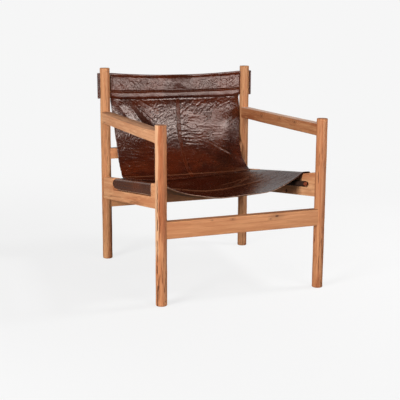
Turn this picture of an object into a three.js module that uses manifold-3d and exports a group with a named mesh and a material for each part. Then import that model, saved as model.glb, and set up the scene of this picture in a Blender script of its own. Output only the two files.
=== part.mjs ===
// A low lounge chair: a frame of round legs and flat boards that carries a leather sling.
// Millimetres, +Z up, +Y towards the back. Left is -X and right is +X, as seen from the front.
// The origin is on the floor, midway between the four legs.
import * as THREE from 'three';
import { mergeVertices } from 'three/addons/utils/BufferGeometryUtils.js';
import Module from 'manifold-3d';

const wasm = await Module();
wasm.setup();

// Wooden frame
const stance = { width: 592, depth: 650 };
const leg = { diameter: 38, arris: 3, frontHeight: 606, rearHeight: 756 };
const sideRail = { thickness: 30, height: 84, arris: 2, frontUnderside: 330, rearUnderside: 245 };
const armrest = { width: 33, height: 43, arris: 3, crown: 7, belowLegTop: 18 };
const stretcher = { thickness: 28, height: 58, arris: 2, underside: 229 };
const rearRail = { thickness: 28, height: 41, arris: 2, lowerUnderside: 211, upperUnderside: 403 };
const tenon = { thickness: 12 };
const tenonHeightShare = 0.65;
const clearance = 0.3;
const overrun = 5;

// Where the seat leather goes over and through each side rail
const wrap = { drop: 36, slotHeight: 9, endRoom: 3, topRadius: 4, lowerRadius: 2 };
const seatDowel = { diameter: 14, overhang: 2, drop: 39.5 };
const plug = { diameter: 12, depth: 10, aboveUnderside: 11.5, fromFrontLeg: 225 };

// Leather
const seat = { thickness: 3, frontSetback: 61, rearSetback: 141, sag: 72, wave: 2.5 };
const back = { thickness: 2.5, edgeRoom: 9, lap: 18, lapGap: 0.95, foldHeight: 6, foldWidth: 16 };
const band = { thickness: 2, height: 95, belowPostTop: 21, hem: 24, straightBelow: 6, sag: 11 };
const backDowel = { diameter: 6, overhang: 1.5 };
const seamStrip = { width: 12, thickness: 1.5, belowBand: 2 };

// Sag of the seat from its front edge to its rear edge, as shares of the full sag
const seatSagShares = [0.9, 0.99, 1, 0.97, 0.84, 0.58, 0.06];
// Rise of the back from the seat's rear edge to the band: shares of its depth and of its height
const backProfileShares = [
  [0.29, 0.1],
  [0.51, 0.197],
  [0.68, 0.33],
  [0.794, 0.498],
  [0.87, 0.732],
  [0.94, 0.91],
];
// Tension folds of the back: both ends as shares of half the width and of the back's length
const backFoldShares = [
  { from: [-0.98, 0.93], to: [-0.62, 0.74] },
  { from: [-0.8, 0.93], to: [-0.3, 0.7] },
  { from: [0.94, 0.95], to: [0.97, 0.3] },
];
const sagPower = 2.5;

// Facets
const legSides = 40;
const dowelSides = 24;
const arcSteps = 3;
const smallArcSteps = 2;
const ringSteps = 8;
const sagSteps = 10;
const seatRows = 9;
const straightSteps = 4;
const backColumns = 10;
const backRows = 20;
const hemRows = 2;
const armRows = 10;

// Sizes worked out from those above
const legRadius = leg.diameter / 2;
const sideX = stance.width / 2;
const frontY = -stance.depth / 2;
const rearY = stance.depth / 2;
const railSlope = (sideRail.frontUnderside - sideRail.rearUnderside) / stance.depth;
const seatFrontY = frontY + seat.frontSetback;
const seatRearY = rearY - seat.rearSetback;
const seatDepth = seatRearY - seatFrontY;
const leatherRoom = seat.thickness + 2 * clearance;
const armUnderside = leg.frontHeight - armrest.belowLegTop - armrest.height;
const bandUnderside = leg.rearHeight - band.belowPostTop - band.height;
const backTopZ = bandUnderside + band.hem;
const backWidth = stance.width - leg.diameter - 2 * back.edgeRoom;

const wood = { color: 0xc98d5c, roughness: 0.55, metalness: 0 };
const darkWood = { color: 0x8a5a38, roughness: 0.6, metalness: 0 };
const leather = { color: 0x4a2416, roughness: 0.38, metalness: 0 };

function railUnderside(y) {
  return sideRail.frontUnderside - railSlope * (y - frontY);
}

function railTop(y) {
  return railUnderside(y) + sideRail.height;
}

// Mesh helpers

function signedVolume(geometry) {
  const position = geometry.getAttribute('position');
  const corners = [new THREE.Vector3(), new THREE.Vector3(), new THREE.Vector3()];
  let volume = 0;
  for (let i = 0; i < geometry.index.count; i += 3) {
    corners.forEach((corner, k) => corner.fromBufferAttribute(position, geometry.index.getX(i + k)));
    volume += corners[0].dot(corners[1].clone().cross(corners[2]));
  }
  return volume;
}

// Merges shared corners and turns the faces outwards.
function closedBody(geometry) {
  geometry.deleteAttribute('normal');
  geometry.deleteAttribute('uv');
  const body = mergeVertices(geometry);
  if (signedVolume(body) < 0) {
    const index = Array.from(body.index.array);
    for (let i = 0; i < index.length; i += 3) {
      [index[i + 1], index[i + 2]] = [index[i + 2], index[i + 1]];
    }
    body.setIndex(index);
  }
  return body;
}

function toSolid(geometry) {
  const body = closedBody(geometry);
  return new wasm.Manifold(new wasm.Mesh({
    numProp: 3,
    vertProperties: new Float32Array(body.getAttribute('position').array),
    triVerts: new Uint32Array(body.index.array),
  }));
}

function fromSolid(solid) {
  const mesh = solid.getMesh();
  const geometry = new THREE.BufferGeometry();
  geometry.setAttribute('position', new THREE.BufferAttribute(mesh.vertProperties, 3));
  geometry.setIndex(Array.from(mesh.triVerts));
  geometry.computeVertexNormals();
  return geometry;
}

// A cuboid between two corners.
function block(low, high) {
  const size = high.map((value, k) => value - low[k]);
  const middle = high.map((value, k) => (value + low[k]) / 2);
  return new THREE.BoxGeometry(...size).translate(...middle);
}

// A rectangle with rounded corners, centred on (x, z).
function roundedOutline(x, z, width, height, radius) {
  const shape = new THREE.Shape();
  const right = x + width / 2 - radius;
  const top = z + height / 2 - radius;
  const left = x - width / 2 + radius;
  const bottom = z - height / 2 + radius;
  shape.absarc(right, top, radius, 0, Math.PI / 2);
  shape.absarc(left, top, radius, Math.PI / 2, Math.PI);
  shape.absarc(left, bottom, radius, Math.PI, 1.5 * Math.PI);
  shape.absarc(right, bottom, radius, 1.5 * Math.PI, 2 * Math.PI);
  return shape;
}

// Carries an outline in (x, z) from one y to another.
function alongY(shape, fromY, toY) {
  const geometry = new THREE.ExtrudeGeometry(shape, {
    depth: toY - fromY,
    bevelEnabled: false,
    curveSegments: arcSteps,
  });
  const turn = new THREE.Matrix4().makeBasis(
    new THREE.Vector3(1, 0, 0),
    new THREE.Vector3(0, 0, 1),
    new THREE.Vector3(0, -1, 0),
  );
  return geometry.applyMatrix4(turn).translate(0, toY, 0);
}

// Carries an outline in (y, z) from one x to another.
function alongX(shape, fromX, toX) {
  const geometry = new THREE.ExtrudeGeometry(shape, {
    depth: toX - fromX,
    bevelEnabled: false,
    curveSegments: arcSteps,
  });
  const turn = new THREE.Matrix4().makeBasis(
    new THREE.Vector3(0, 1, 0),
    new THREE.Vector3(0, 0, 1),
    new THREE.Vector3(1, 0, 0),
  );
  return geometry.applyMatrix4(turn).translate(fromX, 0, 0);
}

// Lifts every point by a height that depends on its y, so that a level run follows the rail.
function followRail(geometry, heightAt) {
  const position = geometry.getAttribute('position');
  for (let i = 0; i < position.count; i += 1) {
    position.setZ(i, position.getZ(i) + heightAt(position.getY(i)));
  }
  return geometry;
}

// Closed body between two matching grids of points.
function closeSheet(upper, lower) {
  const rows = upper.length;
  const columns = upper[0].length;
  const points = [...upper.flat(), ...lower.flat()];
  const at = (layer, i, j) => layer * rows * columns + i * columns + j;
  const index = [];
  const quad = (a, b, c, d) => index.push(a, b, c, a, c, d);
  for (let i = 0; i + 1 < rows; i += 1) {
    for (let j = 0; j + 1 < columns; j += 1) {
      quad(at(0, i, j), at(0, i, j + 1), at(0, i + 1, j + 1), at(0, i + 1, j));
      quad(at(1, i, j), at(1, i + 1, j), at(1, i + 1, j + 1), at(1, i, j + 1));
    }
  }
  for (let i = 0; i + 1 < rows; i += 1) {
    const last = columns - 1;
    quad(at(0, i, 0), at(0, i + 1, 0), at(1, i + 1, 0), at(1, i, 0));
    quad(at(0, i, last), at(1, i, last), at(1, i + 1, last), at(0, i + 1, last));
  }
  for (let j = 0; j + 1 < columns; j += 1) {
    const last = rows - 1;
    quad(at(0, 0, j), at(1, 0, j), at(1, 0, j + 1), at(0, 0, j + 1));
    quad(at(0, last, j), at(0, last, j + 1), at(1, last, j + 1), at(1, last, j));
  }
  const geometry = new THREE.BufferGeometry();
  geometry.setAttribute('position', new THREE.Float32BufferAttribute(points.flatMap((p) => p.toArray()), 3));
  geometry.setIndex(index);
  const body = closedBody(geometry);
  body.computeVertexNormals();
  return body;
}

// Closed body through a row of rings that all have the same number of points.
function loft(rings) {
  const count = rings[0].length;
  const points = rings.flat();
  const index = [];
  for (let i = 0; i + 1 < rings.length; i += 1) {
    for (let k = 0; k < count; k += 1) {
      const next = (k + 1) % count;
      const [a, b] = [i * count + k, i * count + next];
      index.push(a, b, b + count, a, b + count, a + count);
    }
  }
  const middleOf = (ring) => ring.reduce((sum, p) => sum.add(p), new THREE.Vector3()).divideScalar(count);
  const first = points.push(middleOf(rings[0])) - 1;
  const last = points.push(middleOf(rings[rings.length - 1])) - 1;
  const end = (rings.length - 1) * count;
  for (let k = 0; k < count; k += 1) {
    const next = (k + 1) % count;
    index.push(first, next, k);
    index.push(last, end + k, end + next);
  }
  const geometry = new THREE.BufferGeometry();
  geometry.setAttribute('position', new THREE.Float32BufferAttribute(points.flatMap((p) => p.toArray()), 3));
  geometry.setIndex(index);
  return closedBody(geometry);
}

// Legs, standing on their own origin

function roundPost(radius, height, arris) {
  const profile = [new THREE.Vector2(0, 0)];
  for (let k = 0; k <= arcSteps; k += 1) {
    const turn = (k / arcSteps) * (Math.PI / 2);
    profile.push(new THREE.Vector2(radius - arris + arris * Math.sin(turn), arris - arris * Math.cos(turn)));
  }
  for (let k = 0; k <= arcSteps; k += 1) {
    const turn = (k / arcSteps) * (Math.PI / 2);
    const x = radius - arris + arris * Math.cos(turn);
    profile.push(new THREE.Vector2(x, height - arris + arris * Math.sin(turn)));
  }
  profile.push(new THREE.Vector2(0, height));
  return new THREE.LatheGeometry(profile, legSides).rotateX(Math.PI / 2);
}

// The round of a leg plus its clearance, which the end of each board is hollowed to.
function legRound(x, y, height) {
  return new THREE.CylinderGeometry(legRadius + clearance, legRadius + clearance, height, legSides)
    .rotateX(Math.PI / 2)
    .translate(x, y, height / 2);
}

// A board's tenon along x or y, on the side of the leg that towards names. It stops short of the
// leg's axis, so that it clears a tenon that comes in square to it. Grow makes it into its socket.
function tenonBlock(axis, towards, middleZ, boardHeight, grow) {
  const half = tenon.thickness / 2 + grow;
  const rise = (boardHeight * tenonHeightShare) / 2 + grow;
  const tip = tenon.thickness / 2 + clearance - grow;
  const ends = [towards * (legRadius + overrun), towards * tip].sort((a, b) => a - b);
  const low = axis === 'x' ? [ends[0], -half] : [-half, ends[0]];
  const high = axis === 'x' ? [ends[1], half] : [half, ends[1]];
  return block([...low, middleZ - rise], [...high, middleZ + rise]);
}

function legWithSockets(height, sockets, slot) {
  let solid = toSolid(roundPost(legRadius, height, leg.arris));
  for (const [axis, towards, middleZ, boardHeight] of sockets) {
    solid = solid.subtract(toSolid(tenonBlock(axis, towards, middleZ, boardHeight, clearance)));
  }
  if (slot) solid = solid.subtract(toSolid(slot));
  return fromSolid(solid);
}

const armMiddle = armUnderside + armrest.height / 2;
const stretcherMiddle = stretcher.underside + stretcher.height / 2;
const lowerRailMiddle = rearRail.lowerUnderside + rearRail.height / 2;
const upperRailMiddle = rearRail.upperUnderside + rearRail.height / 2;
const railMiddle = (y) => railUnderside(y) + sideRail.height / 2;

function frontLeg(side) {
  return legWithSockets(leg.frontHeight, [
    ['x', -side, stretcherMiddle, stretcher.height],
    ['y', 1, railMiddle(frontY), sideRail.height],
    ['y', 1, armMiddle, armrest.height],
  ]);
}

// The band passes through a slot near the top of each rear post.
function rearPost(side) {
  const half = bandOuterHalf(1) + clearance;
  const reach = legRadius + overrun;
  const slot = block(
    [-reach, -half, bandUnderside - clearance],
    [reach, half, bandUnderside + band.height + clearance],
  );
  return legWithSockets(leg.rearHeight, [
    ['x', -side, lowerRailMiddle, rearRail.height],
    ['x', -side, upperRailMiddle, rearRail.height],
    ['y', -1, railMiddle(rearY), sideRail.height],
    ['y', -1, armMiddle, armrest.height],
  ], slot);
}

// Boards

// Hollows a board to the legs at both its ends and adds a tenon there.
function fitBoard(board, ends) {
  let solid = toSolid(board);
  for (const { x, y } of ends) solid = solid.subtract(toSolid(legRound(x, y, leg.rearHeight)));
  for (const { x, y, axis, towards, middleZ, height } of ends) {
    solid = solid.add(toSolid(tenonBlock(axis, towards, middleZ, height, 0).translate(x, y, 0)));
  }
  return solid;
}

// A plain side rail, grown by the clearance, which the boards that run past it are cut back from.
function sideRailRoom(side) {
  const [width, height] = [sideRail.thickness + 2 * clearance, sideRail.height + 2 * clearance];
  const outline = roundedOutline(side * sideX, sideRail.height / 2, width, height, sideRail.arris);
  return followRail(alongY(outline, frontY, rearY), railUnderside);
}

function crossBoard(y, size, underside) {
  const middleZ = underside + size.height / 2;
  const outline = roundedOutline(y, middleZ, size.thickness, size.height, size.arris);
  const ends = [-1, 1].map((side) => ({
    x: side * sideX,
    y,
    axis: 'x',
    towards: -side,
    middleZ,
    height: size.height,
  }));
  let solid = fitBoard(alongX(outline, -sideX, sideX), ends);
  for (const side of [-1, 1]) solid = solid.subtract(toSolid(sideRailRoom(side)));
  return fromSolid(solid);
}

function sideEnds(middleAt, height) {
  return [
    { x: 0, y: frontY, axis: 'y', towards: 1, middleZ: middleAt(frontY), height },
    { x: 0, y: rearY, axis: 'y', towards: -1, middleZ: middleAt(rearY), height },
  ];
}

// What the seat leather takes out of a side rail: a shallow step over its top and down its outer
// face, and a slot through it. The wood that stays between them is a hole in this outline.
// Here x is outward from the leg axes and z is from the rail's top edge.
function wrapCut(side) {
  const inner = -sideRail.thickness / 2;
  const outer = sideRail.thickness / 2 - leatherRoom;
  const slotFloor = -(wrap.drop + wrap.slotHeight);
  const cut = new THREE.Shape();
  cut.moveTo(inner - overrun, slotFloor);
  cut.lineTo(sideRail.thickness / 2 + overrun, slotFloor);
  cut.lineTo(sideRail.thickness / 2 + overrun, overrun);
  cut.lineTo(inner - overrun, overrun);
  const kept = new THREE.Path();
  const [high, low] = [wrap.topRadius, wrap.lowerRadius];
  kept.absarc(outer - high, -leatherRoom - high, high, Math.PI / 2, 0, true);
  kept.absarc(outer - low, -wrap.drop + low, low, 0, -Math.PI / 2, true);
  kept.lineTo(inner - clearance, -wrap.drop);
  kept.lineTo(inner - clearance, -leatherRoom - high);
  kept.lineTo(inner, -leatherRoom - high);
  kept.absarc(inner + high, -leatherRoom - high, high, Math.PI, Math.PI / 2, true);
  cut.holes.push(kept);
  const run = alongY(cut, seatFrontY - wrap.endRoom, seatRearY + wrap.endRoom);
  return followRail(run.scale(side, 1, 1), railTop);
}

function plugCylinder(side, radius, depth) {
  const y = frontY + plug.fromFrontLeg;
  return new THREE.CylinderGeometry(radius, radius, depth, dowelSides)
    .rotateZ(Math.PI / 2)
    .translate(side * (depth - sideRail.thickness) / 2, y, railUnderside(y) + plug.aboveUnderside);
}

// The socket is deeper than the plug by the clearance, and runs out past the rail's inner face.
function plugSocket(side) {
  const depth = plug.depth + 2 * clearance;
  return plugCylinder(side, plug.diameter / 2 + clearance, depth).translate(-side * clearance, 0, 0);
}

function sideRailBody(side) {
  const outline = roundedOutline(0, sideRail.height / 2, sideRail.thickness, sideRail.height, sideRail.arris);
  const board = followRail(alongY(outline, frontY, rearY), railUnderside);
  const solid = fitBoard(board, sideEnds(railMiddle, sideRail.height));
  return fromSolid(solid.subtract(toSolid(wrapCut(side))).subtract(toSolid(plugSocket(side))));
}

// One corner of an armrest's section, as an arc.
function cornerArc(x, z, radius, quarter) {
  return Array.from({ length: arcSteps + 1 }, (_, k) => {
    const turn = (quarter + k / arcSteps) * (Math.PI / 2);
    return [x + radius * Math.cos(turn), z + radius * Math.sin(turn)];
  });
}

// An armrest is a level board whose outer top edge is shaved away most at its middle.
function armBody(side) {
  const half = armrest.width / 2;
  const top = armUnderside + armrest.height;
  const rings = Array.from({ length: armRows + 1 }, (_, i) => {
    const shaved = armrest.arris + armrest.crown * Math.sin((Math.PI * i) / armRows);
    const r = armrest.arris;
    const corners = [
      ...cornerArc(half - shaved, top - shaved, shaved, 0),
      ...cornerArc(-half + r, top - r, r, 1),
      ...cornerArc(-half + r, armUnderside + r, r, 2),
      ...cornerArc(half - r, armUnderside + r, r, 3),
    ];
    const y = frontY + (stance.depth * i) / armRows;
    return corners.map(([x, z]) => new THREE.Vector3(side * x, y, z));
  });
  return fromSolid(fitBoard(loft(rings), sideEnds(() => armMiddle, armrest.height)));
}

// The sling's middle line, from the seat's front edge to inside the band

function seatSagAt(y) {
  const last = seatSagShares.length - 1;
  const place = THREE.MathUtils.clamp((y - seatFrontY) / seatDepth, 0, 1) * last;
  const knots = seatSagShares.map((share, k) => new THREE.Vector3(k, share, 0));
  const curve = new THREE.CatmullRomCurve3(knots);
  return seat.sag * curve.getPoint(place / last).y;
}

const seatLineLift = clearance + seat.thickness / 2 - leatherRoom;

function seatMiddleZ(y) {
  return railTop(y) + seatLineLift - seatSagAt(y);
}

const backDepth = rearY - seatRearY;
const hemStartZ = bandUnderside - band.straightBelow;
const backRise = hemStartZ - seatMiddleZ(seatRearY);

const lapStart = new THREE.Vector3(0, seatRearY - back.lap, seatMiddleZ(seatRearY - back.lap));
const lapEnd = new THREE.Vector3(0, seatRearY, seatMiddleZ(seatRearY));
const hemStart = new THREE.Vector3(0, rearY, hemStartZ);
const hemEnd = new THREE.Vector3(0, rearY, backTopZ);

// Evenly spaced points on a straight line, without its far end.
function straightKnots(from, to) {
  return Array.from({ length: straightSteps }, (_, k) => from.clone().lerp(to, k / straightSteps));
}

const backCurve = new THREE.CatmullRomCurve3([
  ...straightKnots(lapStart, lapEnd),
  lapEnd,
  ...backProfileShares.map(([depth, rise]) => new THREE.Vector3(
    0,
    seatRearY + backDepth * depth,
    seatMiddleZ(seatRearY) + backRise * rise,
  )),
  ...straightKnots(hemStart, hemEnd),
  hemEnd,
]);
const backLength = backCurve.getLength();

// Shares of the length at each row of points: even rows up to the band, then the hem inside it.
const bodyTopShare = 1 - (band.hem + seamStrip.belowBand) / backLength;
const bodyShares = Array.from({ length: backRows + 1 }, (_, i) => (bodyTopShare * i) / backRows);
const hemShares = Array.from({ length: hemRows }, (_, i) => (
  bodyTopShare + ((1 - bodyTopShare) * (i + 1)) / hemRows
));

// Distance from a point to a straight line between two others, in one plane.
function distanceToLine(x, s, from, to) {
  const [dx, ds] = [to[0] - from[0], to[1] - from[1]];
  const along = THREE.MathUtils.clamp(((x - from[0]) * dx + (s - from[1]) * ds) / (dx * dx + ds * ds), 0, 1);
  return { along, off: Math.hypot(x - from[0] - along * dx, s - from[1] - along * ds) };
}

// Height of the tension folds above the plain back. Each is a rounded ridge that dies out.
function foldRise(x, s) {
  return backFoldShares.reduce((sum, fold) => {
    const scale = ([across, up]) => [(across * backWidth) / 2, up * backLength];
    const { along, off } = distanceToLine(x, s, scale(fold.from), scale(fold.to));
    return sum + back.foldHeight * (1 - along) * Math.exp(-((off / back.foldWidth) ** 2));
  }, 0);
}

// The back follows the seat's own section at the lap and flattens out above it.
function edgeLift(s) {
  const y = backCurve.getPointAt(s).y;
  return y < seatRearY ? seatSagAt(y) : seatSagAt(seatRearY) * (1 - (y - seatRearY) / backDepth);
}

const lapRise = seat.thickness / 2 + back.lapGap + back.thickness / 2;

// A point of the back: x across, s the share of its length, and rise towards the sitter.
function backPoint(x, s, rise) {
  const middle = backCurve.getPointAt(s);
  const along = backCurve.getTangentAt(s);
  const front = new THREE.Vector3(0, -along.z, along.y);
  const span = Math.abs(x) / (sideX - sideRail.thickness / 2);
  const lap = lapRise * (1 - THREE.MathUtils.smoothstep(s * backLength, back.lap, 3 * back.lap));
  const held = THREE.MathUtils.smoothstep((1 - s) * backLength, band.hem, 2 * band.hem);
  const middleRise = rise + lap + held * foldRise(x, s * backLength);
  return new THREE.Vector3(x, middle.y, middle.z + edgeLift(s) * span ** sagPower)
    .addScaledVector(front, middleRise);
}

// A sheet of the back between two x, of a thickness, with its middle raised by a height.
function backSheet(fromX, toX, columns, shares, thickness, raised) {
  const layer = (rise) => shares.map((share) => (
    Array.from({ length: columns + 1 }, (_, j) => (
      backPoint(fromX + ((toX - fromX) * j) / columns, share, rise)
    ))
  ));
  return closeSheet(layer(raised + thickness / 2), layer(raised - thickness / 2));
}

function backHalf(side) {
  const inner = (side * clearance) / 2;
  const shares = [...bodyShares, ...hemShares];
  return backSheet(inner, (side * backWidth) / 2, backColumns, shares, back.thickness, 0);
}

// A narrow strip covers the joint between the two halves, up to the band's lower edge.
function backSeamStrip() {
  const raised = back.thickness / 2 + clearance + seamStrip.thickness / 2;
  const half = seamStrip.width / 2;
  return backSheet(-half, half, 2, bodyShares, seamStrip.thickness, raised);
}

// Seat leather: one path across the chair in (x, z), carried from front to back

// Corners of a path that bends round an arc, with the middles of its sides on the arc.
// Angles are in quarter turns.
function pathArc(x, z, radius, from, to, steps) {
  const outside = radius / Math.cos(((to - from) / steps) * (Math.PI / 4));
  return Array.from({ length: steps + 1 }, (_, k) => {
    const turn = (from + ((to - from) * k) / steps) * (Math.PI / 2);
    return new THREE.Vector2(x + outside * Math.cos(turn), z + outside * Math.sin(turn));
  });
}

const dowelRoll = seatDowel.diameter / 2 + clearance + seat.thickness / 2;
const ringShares = { from: 0.33, to: 3.58 };
const ringCorner = Math.cos(((ringShares.to - ringShares.from) / ringSteps) * (Math.PI / 4));
const dowelX = -sideRail.thickness / 2 - clearance - (dowelRoll + seat.thickness / 2) / ringCorner;

// From the rail's top, over it, down its outer face, in through the slot and round the dowel.
// Here x is outward from the leg axes and z is from the rail's top edge.
function wingPath() {
  const inner = -sideRail.thickness / 2;
  const outer = sideRail.thickness / 2 - leatherRoom;
  const off = clearance + seat.thickness / 2;
  const shoulderZ = -leatherRoom - wrap.topRadius;
  const ring = pathArc(dowelX, -seatDowel.drop, dowelRoll, ringShares.from, ringShares.to, ringSteps);
  const slotZ = -wrap.drop - off;
  const turn = ringShares.from * (Math.PI / 2);
  const slotEnd = new THREE.Vector2(ring[0].x + (ring[0].y - slotZ) * Math.tan(turn), slotZ);
  const [high, low] = [wrap.topRadius, wrap.lowerRadius];
  return [
    ...pathArc(outer - high, shoulderZ, high + off, 1, 0, arcSteps),
    ...pathArc(outer - low, -wrap.drop + low, low + off, 0, -1, smallArcSteps),
    slotEnd,
    ...ring,
  ];
}

// Half the path: the sagging part out from the middle, the roll over the rail's inner edge, the wing.
function halfPath(y) {
  const roll = wrap.topRadius + clearance + seat.thickness / 2;
  const rollX = sideX - sideRail.thickness / 2 + wrap.topRadius;
  const rollZ = railTop(y) - leatherRoom - wrap.topRadius;
  const middleZ = seatMiddleZ(y);
  const climb = Math.atan((sagPower * seatSagAt(y)) / (sideX - sideRail.thickness / 2));
  const endX = rollX - roll * Math.sin(climb);
  const endZ = rollZ + roll * Math.cos(climb);
  const sagging = Array.from({ length: sagSteps }, (_, k) => {
    const share = k / sagSteps;
    return new THREE.Vector2(endX * share, middleZ + (endZ - middleZ) * share ** sagPower);
  });
  const rolling = pathArc(rollX, rollZ, roll, 1 + climb / (Math.PI / 2), 1, smallArcSteps);
  const wing = wingPath().map((p) => new THREE.Vector2(p.x + sideX, p.y + railTop(y)));
  return [...sagging, ...rolling, ...wing];
}

function fullPath(y) {
  const right = halfPath(y);
  const left = right.slice(1).map((p) => new THREE.Vector2(-p.x, p.y)).reverse();
  const path = [...left, ...right];
  const nearFront = Math.exp(-(((y - seatFrontY) / seat.frontSetback) ** 2));
  path.forEach((p) => {
    const share = p.x / sideX;
    const inside = Math.max(0, 1 - share * share) ** 2;
    p.y += seat.wave * nearFront * inside * Math.sin(share * 3 * Math.PI);
  });
  return path;
}

// Moves each point of a path sideways by a distance, with mitred corners.
function offsetPath(path, distance) {
  const last = path.length - 1;
  return path.map((p, k) => {
    const before = path[Math.max(k, 1)].clone().sub(path[Math.max(k, 1) - 1]).normalize();
    const after = path[Math.min(k, last - 1) + 1].clone().sub(path[Math.min(k, last - 1)]).normalize();
    const normal = new THREE.Vector2(-before.y - after.y, before.x + after.x);
    const spread = 1 + before.dot(after);
    return p.clone().addScaledVector(normal, distance / spread);
  });
}

// The last row of the seat is as deep as the lap, so that the back lies flat on it there.
function seatSling() {
  const layer = (distance) => Array.from({ length: seatRows + 1 }, (_, i) => {
    const y = Math.min(seatFrontY + ((seatDepth - back.lap) * i) / (seatRows - 1), seatRearY);
    return offsetPath(fullPath(y), distance).map((p) => new THREE.Vector3(p.x, y, p.y));
  });
  return closeSheet(layer(seat.thickness / 2), layer(-seat.thickness / 2));
}

function seatDowelBody(side) {
  const run = seatDepth * Math.hypot(1, railSlope) + 2 * seatDowel.overhang;
  const middleY = (seatFrontY + seatRearY) / 2;
  const radius = seatDowel.diameter / 2;
  return new THREE.CylinderGeometry(radius, radius, run, dowelSides)
    .rotateX(-Math.atan(railSlope))
    .translate(side * dowelX, middleY, railTop(middleY) - seatDowel.drop);
}

// Band: a flat sleeve of two plies that takes the back between them, with a dowel in each end

function bandInnerHalf(tight) {
  return THREE.MathUtils.lerp(back.thickness / 2 + clearance, clearance, tight);
}

function bandOuterHalf(tight) {
  return bandInnerHalf(tight) + band.thickness;
}

const loopInner = backDowel.diameter / 2 + clearance;
const loopX = sideX + legRadius + clearance + loopInner + band.thickness;

// Outline of the sleeve in (x, y), at a half thickness that narrows towards the posts' slots.
function sleeveOutline(halfAt, loopRadius) {
  const reach = backWidth / 2 + clearance;
  const post = sideX - legRadius - clearance;
  const places = [-post, -reach, 0, reach, post];
  const tight = [1, 0, 0, 0, 1];
  const front = [];
  for (let k = 0; k + 1 < places.length; k += 1) {
    const steps = k === 1 || k === 2 ? backColumns : 1;
    for (let n = 0; n < steps; n += 1) {
      const share = n / steps;
      const x = THREE.MathUtils.lerp(places[k], places[k + 1], share);
      front.push([x, -halfAt(THREE.MathUtils.lerp(tight[k], tight[k + 1], share))]);
    }
  }
  front.push([places[4], -halfAt(1)]);
  const throat = 1 - Math.asin(halfAt(1) / loopRadius) / Math.PI;
  const loop = Array.from({ length: 2 * ringSteps + 1 }, (_, k) => {
    const turn = Math.PI * throat * (k / ringSteps - 1);
    return [loopX + loopRadius * Math.cos(turn), loopRadius * Math.sin(turn)];
  });
  const rear = front.map(([x, y]) => [x, -y]).reverse();
  const farLoop = loop.map(([x, y]) => [-x, -y]);
  return [...front, ...loop, ...rear, ...farLoop].map(([x, y]) => new THREE.Vector2(x, y));
}

// The band's top edge hangs slack between the posts, and its lower edge is held straight.
function bandBody() {
  const sleeve = new THREE.Shape(sleeveOutline(bandOuterHalf, loopInner + band.thickness));
  sleeve.holes.push(new THREE.Path(sleeveOutline(bandInnerHalf, loopInner)));
  const geometry = new THREE.ExtrudeGeometry(sleeve, { depth: band.height, bevelEnabled: false });
  const position = geometry.getAttribute('position');
  for (let i = 0; i < position.count; i += 1) {
    const share = Math.min(1, Math.abs(position.getX(i)) / (backWidth / 2));
    const upShare = position.getZ(i) / band.height;
    position.setZ(i, position.getZ(i) - band.sag * (1 - share * share) * upShare);
  }
  const body = closedBody(geometry.translate(0, rearY, bandUnderside));
  body.computeVertexNormals();
  return body;
}

function backDowelBody() {
  const radius = backDowel.diameter / 2;
  return new THREE.CylinderGeometry(radius, radius, band.height + 2 * backDowel.overhang, dowelSides)
    .rotateX(Math.PI / 2);
}

// Assembly

const chair = new THREE.Group();

function addPiece(parent, name, geometry, look, place = [0, 0, 0]) {
  const mesh = new THREE.Mesh(geometry, new THREE.MeshStandardMaterial(look));
  mesh.name = name;
  mesh.position.set(...place);
  parent.add(mesh);
}

for (const [label, side] of [['left', -1], ['right', 1]]) {
  const flank = new THREE.Group();
  flank.position.x = side * sideX;
  chair.add(flank);
  addPiece(flank, `front_${label}_leg`, frontLeg(side), wood, [0, frontY, 0]);
  addPiece(flank, `rear_${label}_post`, rearPost(side), wood, [0, rearY, 0]);
  addPiece(flank, `${label}_side_rail`, sideRailBody(side), wood);
  addPiece(flank, `${label}_armrest`, armBody(side), wood);
  addPiece(flank, `${label}_rail_plug`, plugCylinder(side, plug.diameter / 2, plug.depth), darkWood);
  addPiece(flank, `${label}_seat_dowel`, seatDowelBody(side), darkWood);
  const loopPlace = [side * (loopX - sideX), rearY, bandUnderside + band.height / 2];
  addPiece(flank, `${label}_back_dowel`, backDowelBody(), darkWood, loopPlace);
}

addPiece(chair, 'front_stretcher', crossBoard(frontY, stretcher, stretcher.underside), wood);
addPiece(chair, 'rear_lower_rail', crossBoard(rearY, rearRail, rearRail.lowerUnderside), wood);
addPiece(chair, 'rear_upper_rail', crossBoard(rearY, rearRail, rearRail.upperUnderside), wood);

const sling = new THREE.Group();
chair.add(sling);
addPiece(sling, 'seat_sling', seatSling(), leather);
addPiece(sling, 'back_left_half', backHalf(-1), leather);
addPiece(sling, 'back_right_half', backHalf(1), leather);
addPiece(sling, 'back_seam_strip', backSeamStrip(), leather);
addPiece(sling, 'back_band', bandBody(), leather);

export default chair;
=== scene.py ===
"""Looks of a low lounge chair: a leather sling hung in a frame of round legs and flat boards.

Metres, +Z up, +Y towards the back. Left is -X and right is +X, as seen from the front.
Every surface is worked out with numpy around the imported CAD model. Rows of a grid run along
the first parameter and columns along the second.
"""

from math import cos, pi, radians, sin

import bmesh
import bpy
import numpy as np
from bpy.props import FloatProperty, FloatVectorProperty, PointerProperty
from bpy.types import Operator, Panel, PropertyGroup
from mathutils import Matrix, Vector


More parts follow.
